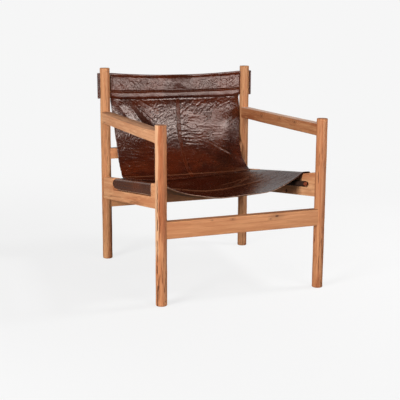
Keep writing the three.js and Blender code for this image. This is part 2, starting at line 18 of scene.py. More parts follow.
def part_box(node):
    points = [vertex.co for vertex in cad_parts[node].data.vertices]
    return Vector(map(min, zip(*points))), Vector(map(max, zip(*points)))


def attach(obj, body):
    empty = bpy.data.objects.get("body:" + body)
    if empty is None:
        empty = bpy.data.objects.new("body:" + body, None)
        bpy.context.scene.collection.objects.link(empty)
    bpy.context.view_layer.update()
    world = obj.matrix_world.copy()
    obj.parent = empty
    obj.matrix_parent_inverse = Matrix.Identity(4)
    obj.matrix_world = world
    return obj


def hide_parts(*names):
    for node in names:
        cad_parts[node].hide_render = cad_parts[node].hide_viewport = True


bl_info = {
    "name": "Leather sling lounge chair",
    "version": (1, 0, 0),
    "blender": (4, 5, 0),
    "location": "View3D > Sidebar > Sling Chair",
    "description": "Dresses the packed frame of a lounge chair with wood, leather and a studio",
    "category": "Object",
}

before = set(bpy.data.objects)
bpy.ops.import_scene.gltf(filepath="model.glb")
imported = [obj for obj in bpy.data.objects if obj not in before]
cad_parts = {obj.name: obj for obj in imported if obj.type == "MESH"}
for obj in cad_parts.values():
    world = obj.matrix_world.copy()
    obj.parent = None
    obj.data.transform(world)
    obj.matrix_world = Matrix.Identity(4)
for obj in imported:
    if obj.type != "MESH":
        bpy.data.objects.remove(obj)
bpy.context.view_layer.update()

leg_low, leg_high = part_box("front_right_leg")
post_low, post_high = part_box("rear_right_post")
arm_low, arm_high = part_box("right_armrest")
LEG_RADIUS = (leg_high.x - leg_low.x) / 2
SIDE_X = (leg_high.x + leg_low.x) / 2
FRONT_Y = (leg_high.y + leg_low.y) / 2
REAR_Y = (post_high.y + post_low.y) / 2
ARM_UNDERSIDE = arm_low.z
ARM_TOP = arm_high.z
ARM_WIDTH = arm_high.x - arm_low.x
BAND_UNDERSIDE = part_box("back_band")[0].z
BAND_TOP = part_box("back_band")[1].z


def number_property(name, description, default, **limits):
    """A number that can be set in the panel."""
    return FloatProperty(name=name, description=description, default=default, **limits)


def length_property(name, description, default):
    """A length in metres."""
    return number_property(name, description, default, min=0, unit="LENGTH", subtype="DISTANCE")


def share_property(name, description, default):
    """A share from 0 to 1."""
    return number_property(name, description, default, min=0, max=1, subtype="FACTOR")


def colour_property(name, description, default):
    """A colour in linear red, green and blue."""
    limits = {"size": 3, "min": 0, "max": 1, "subtype": "COLOR"}
    return FloatVectorProperty(name=name, description=description, default=default, **limits)


class FrameSettings(PropertyGroup):
    """Sizes and colours of the wooden frame."""

    rail_height: length_property("Rail height", "Height of a side rail", 0.084)
    rail_thickness: length_property("Rail thickness", "Thickness of a side rail", 0.030)
    rail_front: length_property("Rail front", "Underside of a side rail at the front leg", 0.330)
    rail_rear: length_property("Rail rear", "Underside of a side rail at the rear post", 0.245)
    arris: length_property("Arris", "Rounding of a leg's end and of an armrest's edge", 0.003)
    crown: length_property("Crown", "Extra wood shaved off an armrest's outer top edge", 0.0055)
    tan: colour_property("Tan", "Main colour of the wood", (0.52, 0.245, 0.125))
    pale: colour_property("Pale", "Pale streaks of the wood", (0.64, 0.35, 0.19))
    sapwood: colour_property("Sapwood", "Pale outer wood of a leg", (0.74, 0.44, 0.25))
    rust: colour_property("Rust", "Reddish streaks of the wood", (0.40, 0.150, 0.068))
    # Painted reflection: the pale top of the right armrest stands in for the bright room reflected
    # at a grazing angle.
    painted_top_glare: colour_property("Bare", "Worn bare wood on top of the right armrest", (0.72, 0.54, 0.44))
    # Dark: dark grain lines and pores, and on faces that look up painted shade with some wear.
    dark: colour_property("Dark", "Late wood, knots and worn tops", (0.20, 0.082, 0.037))
    # Crack: painted shade inside the cracks, and the dark middle of a knot.
    crack: colour_property("Crack", "Inside a drying crack or a knot", (0.085, 0.026, 0.011))
    plug: colour_property("Plug rim", "Glue-dark rim of a plug", (0.020, 0.008, 0.006))
    dowel: colour_property("Dowel", "Colour of the dowels and plugs", (0.22, 0.055, 0.026))


class LeatherSettings(PropertyGroup):
    """Sizes and colours of the leather."""

    seat_thickness: length_property("Seat thickness", "Thickness of the seat leather", 0.003)
    back_thickness: length_property("Back thickness", "Thickness of the back leather", 0.0025)
    band_thickness: length_property("Band thickness", "Thickness of one ply of the band", 0.002)
    clearance: length_property("Clearance", "Gap between the leather and what it lies on", 0.0003)
    seat_front: length_property("Front setback", "Front leg's axis to the seat's front edge", 0.061)
    seat_rear: length_property("Rear setback", "Rear post's axis to the seat's rear edge", 0.141)
    setback: length_property("Right setback", "How far its front runs back to the right", 0.038)
    sag: length_property("Sag", "Deepest sag of the seat below the rails", 0.072)
    lap: length_property("Lap", "How far the back lies on the seat at the centre line", 0.022)
    lap_slant: share_property("Lap slant", "How fast the lap narrows to the right", 0.080)
    hem: length_property("Hem", "How far the back reaches up inside the band", 0.024)
    stitch: length_property("Stitch", "Length of one stitch", 0.0052)
    pitch: length_property("Pitch", "From one stitch to the next", 0.0080)
    thread: length_property("Thread", "Thickness of the thread", 0.0009)
    brown: colour_property("Brown", "Main colour of the leather", (0.034, 0.0046, 0.0013))
    red: colour_property("Red", "Warm patches of the leather", (0.070, 0.0095, 0.0016))
    # Pale tone of the leather: wear, dust and thread specks, and painted highlight on ridges,
    # creases and beads.
    worn_and_painted_light: colour_property("Worn", "Worn ridges of the leather", (0.215, 0.086, 0.042))
    edge: colour_property("Edge", "Cut edges of the leather", (0.56, 0.36, 0.27))
    dark_edge: colour_property("Dark edge", "Cut edges of the back and band", (0.050, 0.018, 0.010))
    flesh: colour_property("Flesh side", "Rough side of the leather", (0.190, 0.120, 0.090))
    tan_flesh: colour_property("Seat's flesh", "Rough side of the seat leather", (0.46, 0.22, 0.10))
    # Dark flesh: dark nap on the flesh side, and at the seat's right painted shade on its flesh
    # side inside the rail.
    dark_flesh: colour_property("Dark flesh", "Flesh side dark with wax", (0.030, 0.014, 0.010))
    sheen: colour_property("Sheen", "Tint of the wax's reflections", (1.0, 0.86, 0.80))
    seam: colour_property("Thread colour", "Colour of the thread", (0.21, 0.085, 0.048))


class StageSettings(PropertyGroup):
    """Camera, lamps and floor."""

    lens: number_property("Lens", "Focal length", 78.71, unit="CAMERA")
    pale: share_property("Backdrop", "Brightness of the floor and backdrop", 0.922)
    bounce: share_property("Bounce", "Share of light that the floor throws at the chair", 0.22)
    shadow: share_property("Shadow", "Depth of a full shadow on the floor", 0.20)
    level: number_property("Floor level", "Light that falls on the open floor", 0.86)
    key: number_property("Key lamp", "Power of the left lamp", 108, unit="POWER")
    sheen: number_property("Sheen lamp", "Power of the right lamp", 70, unit="POWER")
    fill: number_property("Fill lamp", "Power of the front lamp", 44, unit="POWER")
    top: number_property("Top lamp", "Power of the top lamp", 27, unit="POWER")
    glow: number_property("Glow", "Strength of the room behind", 0.60)
    dim: number_property("Dim", "Strength of the rest of the room", 0.03)


# Values on a grid

LATTICE = 256  # cells of a noise before it repeats
NOISE_HEIGHT = 1.6  # brings a noise to about -1 to 1
CRINKLE_PARTS = (0.50, 0.32, 0.18)  # weights of the three sizes
SPLINE_POINTS = 40  # points worked out for each knot


def smooth(low, high, value):
    """Smooth step: 0 below low and 1 above high, with level ends."""
    share = np.clip((value - low) / (high - low), 0, 1)
    return share * share * (3 - 2 * share)


def window(value, low, full, fade, end):
    """Smooth steps up from 0 at low to 1 at full, and down again from fade to end."""
    return smooth(low, full, value) * (1 - smooth(fade, end, value))


def hill(value, middle, width):
    """Bell: 1 at the middle and about a third at one width from it."""
    return np.exp(-(((value - middle) / width) ** 2))


def ramp(value, width):
    """Rounded ramp: 0 below zero and the value itself above it, with a soft bend of a width."""
    return (value + np.sqrt(value * value + width * width)) / 2


def noise(u, v, seed):
    """Gradient noise from about -1 to 1: random slopes on a unit lattice, blended smoothly."""
    turn = np.random.default_rng(seed).uniform(0, 2 * pi, (LATTICE, LATTICE))
    i, j = np.floor(u).astype(int), np.floor(v).astype(int)
    f, g = u - i, v - j

    def slope(di, dj):
        angle = turn[(i + di) % LATTICE, (j + dj) % LATTICE]
        return np.cos(angle) * (f - di) + np.sin(angle) * (g - dj)

    a, b = smooth(0, 1, f), smooth(0, 1, g)
    near = slope(0, 0) * (1 - a) + slope(1, 0) * a
    far = slope(0, 1) * (1 - a) + slope(1, 1) * a
    return NOISE_HEIGHT * (near * (1 - b) + far * b)


def crinkle(x, s, long, short, turn, seed):
    """Creased surface from about -1 to 0: valleys where warped noise crosses zero, at three sizes.

    Its largest cells are long by short and lie at a turn from level. Each next size is half as
    large and counts for less.
    """
    u = (x * cos(turn) + s * sin(turn)) / long
    v = (s * cos(turn) - x * sin(turn)) / short
    u = u + 0.5 * noise(0.6 * u, 0.6 * v, seed + 1)
    v = v + 0.5 * noise(0.6 * u, 0.6 * v, seed + 2)
    total = 0
    for k, part in enumerate(CRINKLE_PARTS):
        cells = noise(2**k * u, 2**k * v, seed + 3 + k)
        total = total - part * (1 - np.clip(2.8 * np.abs(cells), 0, 1)) ** 1.4
    return total


def beside(x, s, start, end):
    """Share along a straight line from 0 at its start to 1 at its end, and distance off it.

    For a line that runs down to the right the distance is positive on its lower left.
    """
    dx, ds = end[0] - start[0], end[1] - start[1]
    length = np.hypot(dx, ds)
    along = ((x - start[0]) * dx + (s - start[1]) * ds) / length**2
    return along, ((x - start[0]) * ds - (s - start[1]) * dx) / length


def ridge(x, s, start, end, width):
    """Straight rounded ridge between two points: a bell across it that dies out at its end."""
    along, off = beside(x, s, start, end)
    return window(along, -0.12, 0.05, 0.35, 1.05) * hill(off, 0, width)


def unit(vectors):
    """Vectors of length 1 in the same directions."""
    return vectors / np.maximum(np.linalg.norm(vectors, axis=-1, keepdims=True), 1e-12)


def distances(path):
    """Distance along a path from its start to each of its points."""
    return np.concatenate([[0], np.cumsum(np.linalg.norm(np.diff(path, axis=0), axis=1))])


def read_path(path, run, at):
    """Points of a path at distances along it. run is the distance of each of its own points."""
    return np.stack([np.interp(at, run, axis) for axis in path.T], axis=-1)


def spline(knots, count):
    """Evenly spaced points on a smooth curve through the knots, and its length.

    Between two knots it is a cubic with chord lengths as its parameter, and its slope at a knot is
    that of the line between the knot's neighbours.
    """
    knots = np.asarray(knots, float)
    t = distances(knots)
    slope = np.gradient(knots, t, axis=0)
    slope[1:-1] = (knots[2:] - knots[:-2]) / (t[2:] - t[:-2])[:, None]
    q = np.linspace(0, t[-1], SPLINE_POINTS * len(knots))
    i = np.clip(np.searchsorted(t, q, side="right") - 1, 0, len(knots) - 2)
    h = (t[i + 1] - t[i])[:, None]
    f = (q - t[i])[:, None] / h
    points = (
        (2 * f**3 - 3 * f**2 + 1) * knots[i] + (f**3 - 2 * f**2 + f) * h * slope[i]
        + (3 * f**2 - 2 * f**3) * knots[i + 1] + (f**3 - f**2) * h * slope[i + 1]
    )
    run = distances(points)
    return read_path(points, run, np.linspace(0, run[-1], count)), run[-1]


def grid_normals(grid, ring=False):
    """Unit normals of a grid: the cross product of its two directions at each point.

    A ring closes on itself along its rows, and its last column lies on its first.
    """
    if ring:
        return grid_normals(np.concatenate([grid[:, -2:-1], grid, grid[:, 1:2]], axis=1))[:, 1:-1]
    return unit(np.cross(np.gradient(grid, axis=1), np.gradient(grid, axis=0)))


def grid_lengths(grid):
    """Distance along each row from its middle column, and down each column from its first row."""
    step_u = np.linalg.norm(np.diff(grid, axis=1), axis=2)
    step_v = np.linalg.norm(np.diff(grid, axis=0), axis=2)
    u = np.concatenate([np.zeros((len(grid), 1)), np.cumsum(step_u, axis=1)], axis=1)
    v = np.concatenate([np.zeros((1, grid.shape[1])), np.cumsum(step_v, axis=0)])
    return u - u[:, u.shape[1] // 2, None], v


# Meshes

RIM = 0.42
STITCH_RINGS = 5
STITCH_SIDES = 5
SHARP = {  # angle between faces over which an edge is sharp
    "floor": radians(40), "leg": radians(50), "arm": radians(30), "board": radians(28),
    "leather": radians(70), "stitch": radians(60),
}


def quads_of(index):
    """Four corners of every cell of a grid of vertex numbers, or of a stack of such grids."""
    near = index[..., :-1, :-1], index[..., :-1, 1:]
    far = index[..., 1:, 1:], index[..., 1:, :-1]
    return np.stack([*near, *far], axis=-1).reshape(-1, 4)


def fan(middle, ring, turn=1):
    """Triangles from a middle vertex to a closed ring, in its turn, or against it with -1."""
    return [[middle, *pair[::turn]] for pair in zip(ring, np.roll(ring, -1))]


def add_object(name, data):
    """Object in the scene with some data."""
    made = bpy.data.objects.new(name, data)
    bpy.context.scene.collection.objects.link(made)
    return made


def shade_smooth(mesh, kind):
    """Smooth shading, with a sharp edge where faces meet at more than the kind's angle."""
    mesh.polygons.foreach_set("use_smooth", np.ones(len(mesh.polygons), bool))
    mesh.set_sharp_from_angle(angle=SHARP[kind])


def add_mesh(name, points, faces, kind, uv=None, marks=None):
    """Mesh object from points and lists of vertices, with a UV and named numbers for each point.

    Its kind says how sharp its edges are.
    """
    mesh = bpy.data.meshes.new(name)
    mesh.from_pydata(points.tolist(), [], faces)
    if uv is not None:
        corner = np.empty(len(mesh.loops), int)
        mesh.loops.foreach_get("vertex_index", corner)
        layer = mesh.uv_layers.new(name="UVMap")
        layer.data.foreach_set("uv", uv[corner].astype(np.float32).ravel())
    for key, values in (marks or {}).items():
        attribute = mesh.attributes.new(key, "FLOAT", "POINT")
        attribute.data.foreach_set("value", values.astype(np.float32))
    shade_smooth(mesh, kind)
    mesh.update()
    return add_object(name, mesh)


def finish_piece(piece, look, slot, *nodes):
    """Gives a piece its material and its body, and hides the CAD nodes that it stands for. The slot
    is not used.
    """
    piece.data.materials.clear()
    piece.data.materials.append(bpy.data.materials[look])
    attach(piece, "root")
    if nodes:
        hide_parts(*nodes)


def tidy_copy(node, look, slot):
    """Copy of a CAD node with its loose corners joined and its flat faces kept flat."""
    name = f"{node}_wood"
    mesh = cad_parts[node].data.copy()
    work = bmesh.new()
    work.from_mesh(mesh)
    bmesh.ops.remove_doubles(work, verts=work.verts, dist=1e-6)
    bmesh.ops.dissolve_limit(
        work, angle_limit=radians(0.4), verts=work.verts, edges=work.edges, delimit={"NORMAL"}
    )
    work.to_mesh(mesh)
    work.free()
    if mesh.has_custom_normals:
        mesh.attributes.remove(mesh.attributes["custom_normal"])
    shade_smooth(mesh, "board")
    mesh.name = name
    finish_piece(add_object(name, mesh), look, slot, node)


def leather_sheet(name, middle, thickness, marks, ring):
    """Closed sheet of a thickness round its middle surface, with a rounded rim.

    The grain side is the middle moved out along its normal by half the thickness and the flesh
    side is moved in by as much. The rim's ridge lies outside the middle's own edge by the share
    RIM of the thickness. Marks are numbers for each point of the middle, such as how pale it is
    from wear and painted highlight, or where shade is painted.
    A ring closes on itself along its rows, so it has a rim at its top and bottom only.
    """
    rows, columns = middle.shape[:2]
    count = rows * columns
    index = np.arange(count).reshape(rows, columns)
    if ring:
        index[:, -1] = index[:, 0]
        loops = [index[0, :-1], index[-1, :0:-1]]
    else:
        loops = [np.concatenate([index[0, :-1], index[:-1, -1], index[-1, :0:-1], index[:0:-1, 0]])]
    faces = [quads_of(index), quads_of(index)[:, ::-1] + count]
    normal = grid_normals(middle, ring).reshape(-1, 3)
    uv = np.column_stack([length.ravel() for length in grid_lengths(middle)])
    middle = middle.reshape(-1, 3)
    points = [middle + normal * thickness / 2, middle - normal * thickness / 2]
    values = {"uv": [uv, uv], **{key: [mark.ravel()] * 2 for key, mark in marks.items()}}
    values["edge"] = [np.zeros(count), np.zeros(count)]
    values["flesh"] = [np.zeros(count), np.ones(count)]
    on_rim = {"edge": 1.0, "flesh": 0.5}
    base = 2 * count
    for loop in loops:
        around = np.roll(middle[loop], -1, axis=0) - np.roll(middle[loop], 1, axis=0)
        points.append(middle[loop] - unit(np.cross(normal[loop], around)) * thickness * RIM)
        for key, parts in values.items():
            parts.append(np.full(len(loop), on_rim[key]) if key in on_rim else parts[0][loop])
        rim = base + np.arange(len(loop))
        after, rim_after = np.roll(loop, -1), np.roll(rim, -1)
        faces.append(np.column_stack([rim, rim_after, after, loop]))
        faces.append(np.column_stack([loop + count, after + count, rim_after, rim]))
        base += len(loop)
    marks = {key: np.concatenate(parts) for key, parts in values.items()}
    uv = marks.pop("uv")
    faces = np.concatenate(faces).tolist()
    return add_mesh(name, np.concatenate(points), faces, "leather", uv, marks)


# For each piece of leather: its material and CAD node, its width across the chair by its length as
# it was cut, its area, how it is held and what it rests on
LEATHER = {
    "seat_leather": (
        "seat_hide", "seat_sling", (1.066, 0.458), 0.401, "hung",
        ("left_side_rail", "right_side_rail", "left_seat_dowel", "right_seat_dowel"),
    ),
    "back_left_leather": (
        "back_hide", "back_left_half", (0.282, 0.427), 0.110, "hung", ("back_band", "seat_sling"),
    ),
    "back_right_leather": (
        "back_hide", "back_right_half", (0.277, 0.399), 0.104, "hung", ("back_band", "seat_sling"),
    ),
    "back_seam_leather": (
        "seam_hide", "back_seam_strip", (0.0163, 0.371), 0.0057, "laid",
        ("back_left_half", "back_right_half"),
    ),
    "band_leather": (
        "band_hide", "back_band", (1.330, 0.104), 0.129, "stretched",
        ("rear_left_post", "rear_right_post", "left_back_dowel", "right_back_dowel"),
    ),
}


def add_leather(name, middle, thickness, marks, ring=False):
    """Piece of leather round its middle surface, with its material and body."""
    look, node, flat, area, held, rests_on = LEATHER[name]
    piece = leather_sheet(name, middle, thickness, marks, ring)
    finish_piece(piece, look, "sling_leather", node)


def stitches(name, path, normal, hide):
    """Row of stitches along a path on a surface, in the surface's normal.

    Each is a thin rod of five rings of five points. It rises out of the leather as a half sine
    along its length and is thinnest at its ends.
    """
    run = distances(path)
    count = int((run[-1] - hide.stitch) / hide.pitch)
    share = np.linspace(0, 1, STITCH_RINGS)
    at = (np.arange(count)[:, None] + 0.5) * hide.pitch + hide.stitch * share
    centre = read_path(path, run, at)
    up = unit(read_path(normal, run, at))
    side = unit(np.cross(up, np.gradient(centre, axis=1)))
    arch = np.sin(pi * share)[None, :, None]
    centre = centre + up * hide.thread * (0.55 * arch - 0.35)
    radius = (hide.thread / 2 * (0.55 + 0.45 * arch))[..., None, :]
    turn = np.linspace(0, 2 * pi, STITCH_SIDES, endpoint=False)[None, None, :, None]
    spoke = np.cos(turn) * side[:, :, None] + np.sin(turn) * up[:, :, None]
    points = (centre[:, :, None] + radius * spoke).reshape(-1, 3)
    index = np.arange(len(points)).reshape(count, STITCH_RINGS, STITCH_SIDES)
    walls = quads_of(np.concatenate([index, index[:, :, :1]], axis=2))
    ends = np.concatenate([index[:, 0, ::-1], index[:, -1]])
    piece = add_mesh(name, points, walls.tolist() + ends.tolist(), "stitch")
    finish_piece(piece, "seam_thread", "sling_leather")
    return piece


# Materials


def add_node(tree, kind, inputs=None, **settings):
    """Node of a kind with its settings and inputs. An input is a value or a socket to link from."""
    made = tree.nodes.new("ShaderNode" + kind)
    for key, value in settings.items():
        setattr(made, key, value)
    for key, value in (inputs or {}).items():
        if isinstance(value, bpy.types.NodeSocket):
            tree.links.new(value, made.inputs[key])
        else:
            made.inputs[key].default_value = value
    return made


def calculate(tree, operation, *values):
    """Result of a Math node."""
    return add_node(tree, "Math", dict(enumerate(values)), operation=operation).outputs[0]


def product(tree, first, *others):
    """Product of values."""
    for other in others:
        first = calculate(tree, "MULTIPLY", first, other)
    return first


def vector_maths(tree, operation, *values):
    """Result of a Vector Math node: a vector, or a number where the operation gives one."""
    made = add_node(tree, "VectorMath", dict(enumerate(values)), operation=operation)
    return made.outputs["Value" if operation in ("LENGTH", "DISTANCE", "DOT_PRODUCT") else "Vector"]


def as_colour(value):
    """A colour with its alpha, a grey from one number, or a socket as it is."""
    if isinstance(value, bpy.types.NodeSocket):
        return value
    return (value, value, value, 1) if isinstance(value, float) else (*value, 1)


def blend(tree, share, first, second, blend_type="MIX"):
    """Colour between two colours."""
    inputs = {0: share, 6: as_colour(first), 7: as_colour(second)}
    return add_node(tree, "Mix", inputs, data_type="RGBA", blend_type=blend_type).outputs[2]


def between(tree, value, low, high, to_low=0, to_high=1):
    """Value carried smoothly from one range to another."""
    inputs = {0: value, 1: low, 2: high, 3: to_low, 4: to_high}
    return add_node(tree, "MapRange", inputs, interpolation_type="SMOOTHSTEP").outputs[0]


def noise_at(tree, place, scale, detail=2.0, roughness=0.5, distortion=0.0):
    """Noise texture's value."""
    inputs = {"Vector": place, "Scale": scale, "Detail": detail, "Roughness": roughness}
    return add_node(tree, "TexNoise", {**inputs, "Distortion": distortion}).outputs["Fac"]


def mapped(tree, place, **inputs):
    """Place moved, turned and scaled."""
    return add_node(tree, "Mapping", {"Vector": place, **inputs}).outputs[0]


def mark_at(tree, name):
    """One of the mesh's named numbers."""
    return add_node(tree, "Attribute", attribute_name=name).outputs["Fac"]


def new_material(name):
    """Material with its node tree, its Principled shader and the place on the object."""
    material = bpy.data.materials.new(name)
    material.use_nodes = True
    tree = material.node_tree
    place = add_node(tree, "TexCoord").outputs["Object"]
    return material, tree, tree.nodes["Principled BSDF"], place


def link_surface(tree, shader, colour, roughness, height, distance):
    """Links colour, roughness and a bump of a height to the shader."""
    bump = add_node(tree, "Bump", {"Height": height, "Distance": distance, "Strength": 1.0})
    tree.links.new(colour, shader.inputs["Base Color"])
    tree.links.new(roughness, shader.inputs["Roughness"])
    tree.links.new(bump.outputs[0], shader.inputs["Normal"])


def along_grain(grain, share, size=1.0):
    """Scale of a texture that is drawn out along the grain: its size, and a share of it there."""
    return [size * share if axis == grain else size for axis in "XYZ"]


def wood_material(
    name, settings, grain, tint, knots=(), turn=(0.03, 0.05, 0.0), top=None, lean=0.0, figure=1.0
):
    """Oiled open-grained wood whose fibres run along an axis.

    Rings round an axis beside the board give its long lines, and fine noise drawn out along the
    fibres gives streaks, pores and cracks, whose contrast the figure scales; the dark inside the
    cracks is painted shade. Each knot pushes the rings aside and darkens its middle. The top is a
    colour and its share on faces that look up: painted shade with some wear on the armrests, and
    painted reflection on the right armrest.
    """
    _, tree, shader, place = new_material(name)
    if lean:
        place = mapped(tree, place, Rotation=(lean, 0.0, 0.0))
    fibre = mapped(tree, place, Scale=along_grain(grain, 0.07))
    heart = {"Location": (0.021, 0.034, 0.027), "Rotation": turn}
    ringed = mapped(tree, place, **heart, Scale=along_grain(grain, 0.16))
    wander = calculate(tree, "SUBTRACT", noise_at(tree, fibre, 9.0), 0.5)
    shift = product(tree, wander, 0.030)
    spot, swirl = 0.0, 0.0
    for x, y, z, radius in knots:
        offset = vector_maths(tree, "SUBTRACT", place, (x, y, z))
        scaled = vector_maths(tree, "MULTIPLY", offset, along_grain(grain, 0.45, 1.0 / radius))
        away = vector_maths(tree, "LENGTH", scaled)
        halo = between(tree, away, 0.4, 8.0, 1.0, 0.0)
        shift = calculate(tree, "ADD", shift, product(tree, halo, 0.020))
        swirl = calculate(tree, "MAXIMUM", swirl, halo)
        spot = calculate(tree, "MAXIMUM", spot, between(tree, away, 0.25, 1.0, 1.0, 0.0))
        spot = calculate(tree, "MAXIMUM", spot, between(tree, away, 0.8, 3.6, 0.32, 0.0))
    rings = add_node(
        tree, "TexWave",
        {
            "Vector": vector_maths(tree, "ADD", ringed, shift), "Scale": 30.0, "Distortion": 1.2,
            "Detail": 2.0, "Detail Scale": 1.5,
        },
        wave_type="RINGS", rings_direction=grain, wave_profile="SAW",
    ).outputs["Fac"]
    streak = noise_at(tree, fibre, 75.0, 4.0, 0.6, 0.4)
    broad = noise_at(tree, fibre, 22.0, 2.0, 0.5, 0.6)
    strong = min(figure, 1.0)
    late = between(tree, rings, 0.55, 1.0, 0.0, 0.55)
    late = product(tree, late, calculate(tree, "ADD", strong, swirl))
    tone = blend(tree, between(tree, streak, 0.38, 0.68), settings.tan, settings.pale)
    tone = blend(tree, between(tree, broad, 0.47, 0.66, 0.0, strong), tone, settings.rust)
    tone = blend(tree, late, tone, settings.rust)
    # Dark lines, pale gleams and pores: noise settings, the range that shows, its share and colour
    for *texture, low, high, share, colour in (
        (190.0, 4.0, 0.6, 0.8, 0.55, 0.70, 0.55, settings.dark),
        (300.0, 3.0, 0.6, 0.0, 0.56, 0.70, 0.70, settings.pale),
        (480.0, 2.0, 0.6, 0.0, 0.60, 0.74, 0.50, settings.dark),
    ):
        pores = between(tree, noise_at(tree, fibre, *texture), low, high, 0.0, share * figure)
        tone = blend(tree, pores, tone, colour)
    # Thin noise cracks: their dark is painted shade.
    split = calculate(tree, "SUBTRACT", noise_at(tree, fibre, 28.0, 3.0, 0.55), 0.5)
    split = between(tree, calculate(tree, "ABSOLUTE", split), 0.004, 0.016, 1.0, 0.0)
    crack = product(tree, split, between(tree, noise_at(tree, fibre, 11.0, 1.0), 0.60, 0.68))
    tone = blend(tree, product(tree, crack, 0.6), tone, settings.crack)
    tone = blend(tree, 1.0, tone, tint, "MULTIPLY")
    if knots:
        tone = blend(tree, spot, tone, settings.crack)
    # Faces that look up take the top colour: painted shade on most pieces, painted reflection on
    # the right armrest.
    if top:
        colour, share = top
        normal = add_node(tree, "NewGeometry").outputs["Normal"]
        upward = add_node(tree, "SeparateXYZ", {0: normal}).outputs["Z"]
        tone = blend(tree, between(tree, upward, 0.30, 0.68, 0.0, share), tone, colour)
    height = calculate(tree, "SUBTRACT", streak, product(tree, pores, 0.8))
    height = calculate(tree, "SUBTRACT", height, product(tree, crack, 2.5))
    link_surface(tree, shader, tone, between(tree, streak, 0.3, 0.8, 0.48, 0.66), height, 0.00035)
    shader.inputs["Specular IOR Level"].default_value = 0.15
    return tree, shader, tone


def leg_material(name, settings, tint):
    """The frame's wood with its fibres upright: pale in sapwood, with painted shade in the modelled
    cracks and on the ends that look up.
    """
    # Painted shade on the leg ends that look up.
    top = (settings.dark, 0.55)
    tree, shader, tone = wood_material(
        name, settings, "Z", tint, turn=(0.02, 0.035, 0.0), top=top, figure=1.25
    )
    tone = blend(tree, product(tree, mark_at(tree, "sapwood"), 0.68), tone, settings.sapwood)
    # Painted shade in the modelled cracks.
    tone = blend(tree, mark_at(tree, "crack"), tone, settings.crack)
    tree.links.new(tone, shader.inputs["Base Color"])


def leather_material(name, settings, warmth, wax, edge_tone, flesh_tone):
    """Waxed brown hide.

    Broad noise mixes brown with warm red. Marked ridges, creases and beads are paler, partly from
    wear and partly as painted highlight, cut edges are paler, and the flesh side is matt; at the
    seat's right a mark paints shade on the cut edges and the flesh side. Small cells cracked along
    their edges and a fine grain give the bump. Warmth moves the mix towards red, and wax is the
    strength of the reflections.
    """
    _, tree, shader, place = new_material(name)
    worn_and_painted_light, edge, flesh, painted_shade = (mark_at(tree, key) for key in ("worn_and_painted_light", "edge", "flesh", "painted_shade"))
    patches = noise_at(tree, place, 7.0, 4.0, 0.6, 0.4)
    flecks = noise_at(tree, place, 55.0, 3.0, 0.6, 0.8)
    fine = noise_at(tree, place, 900.0, 2.0, 0.6)
    nap = noise_at(tree, place, 160.0, 5.0, 0.7, 1.2)
    warped = vector_maths(tree, "ADD", place, product(tree, flecks, 0.004))
    cells = {"Vector": warped, "Scale": 230.0}
    cells = add_node(tree, "TexVoronoi", cells, feature="DISTANCE_TO_EDGE").outputs["Distance"]
    red = between(tree, patches, 0.50 - 0.2 * warmth, 0.72 - 0.2 * warmth)
    tone = blend(tree, red, settings.brown, settings.red)
    dusty = product(tree, between(tree, flecks, 0.55, 0.8), 0.02)
    tone = blend(tree, dusty, tone, settings.worn_and_painted_light)
    # Paler where the mark says: partly wear, partly painted highlight.
    tone = blend(tree, product(tree, worn_and_painted_light, 0.35), tone, settings.worn_and_painted_light)
    fuzz = between(tree, nap, 0.35, 0.7, 0.0, 0.7)
    stain = between(tree, noise_at(tree, place, 9.0, 3.0, 0.6), 0.45, 0.75, 0.0, 0.6)
    rough_side = blend(tree, fuzz, flesh_tone, settings.dark_flesh)
    # Painted shade: at the seat's right the flesh side is darkened, as it lies in shade inside the
    # rail.
    stain = calculate(tree, "MAXIMUM", stain, painted_shade)
    rough_side = blend(tree, stain, rough_side, settings.dark_flesh)
    matt = between(tree, flesh, 0.5, 0.9)
    tone = blend(tree, matt, tone, rough_side)
    # Painted shade: at the seat's right the cut edge takes the dark edge tone, for the shade under
    # the seat.
    cut = blend(tree, painted_shade, edge_tone, settings.dark_edge)
    tone = blend(tree, between(tree, edge, 0.35, 0.9), tone, cut)
    rough = between(tree, flecks, 0.3, 0.75, 0.20, 0.30)
    gloss = product(tree, between(tree, flesh, 0.1, 0.4, 1.0, 0.3), wax)
    gloss = product(tree, gloss, between(tree, worn_and_painted_light, 0.5, 1.0, 1.0, 0.18))
    gloss = product(tree, gloss, between(tree, edge, 0.3, 0.9, 1.0, 0.3))
    for mark, low, level in ((flesh, 0.5, 0.85), (edge, 0.3, 0.7)):
        rough = calculate(tree, "MAXIMUM", rough, between(tree, mark, low, 0.9, 0.0, level))
    height = calculate(tree, "ADD", between(tree, cells, 0.0, 0.16), product(tree, fine, 0.5))
    height = calculate(tree, "ADD", height, product(tree, nap, 4.0, matt))
    link_surface(tree, shader, tone, rough, height, 0.00010)
    tree.links.new(gloss, shader.inputs["Specular IOR Level"])
    shader.inputs["Specular Tint"].default_value = as_colour(settings.sheen)


def rod_material(name, settings, middle=None, radius=0.0):
    """Darker oiled rod with fine streaks along it.

    Where a middle is given, as y and z, its end has a dark rim from a share of the radius outwards.
    """
    _, tree, shader, place = new_material(name)
    fibre = mapped(tree, place, Scale=along_grain("Y", 0.08))
    streak = noise_at(tree, fibre, 160.0, 3.0, 0.6)
    tone = blend(tree, between(tree, streak, 0.35, 0.7, 0.0, 0.4), settings.dowel, settings.rust)
    if middle:
        flat = vector_maths(tree, "MULTIPLY", place, (0.0, 1.0, 1.0))
        away = vector_maths(tree, "DISTANCE", flat, (0.0, *middle))
        rim = between(tree, away, 0.35 * radius, 0.65 * radius)
        tone = blend(tree, rim, tone, settings.plug)
    link_surface(tree, shader, tone, between(tree, streak, 0.3, 0.8, 0.5, 0.7), streak, 0.0002)
    shader.inputs["Specular IOR Level"].default_value = 0.1


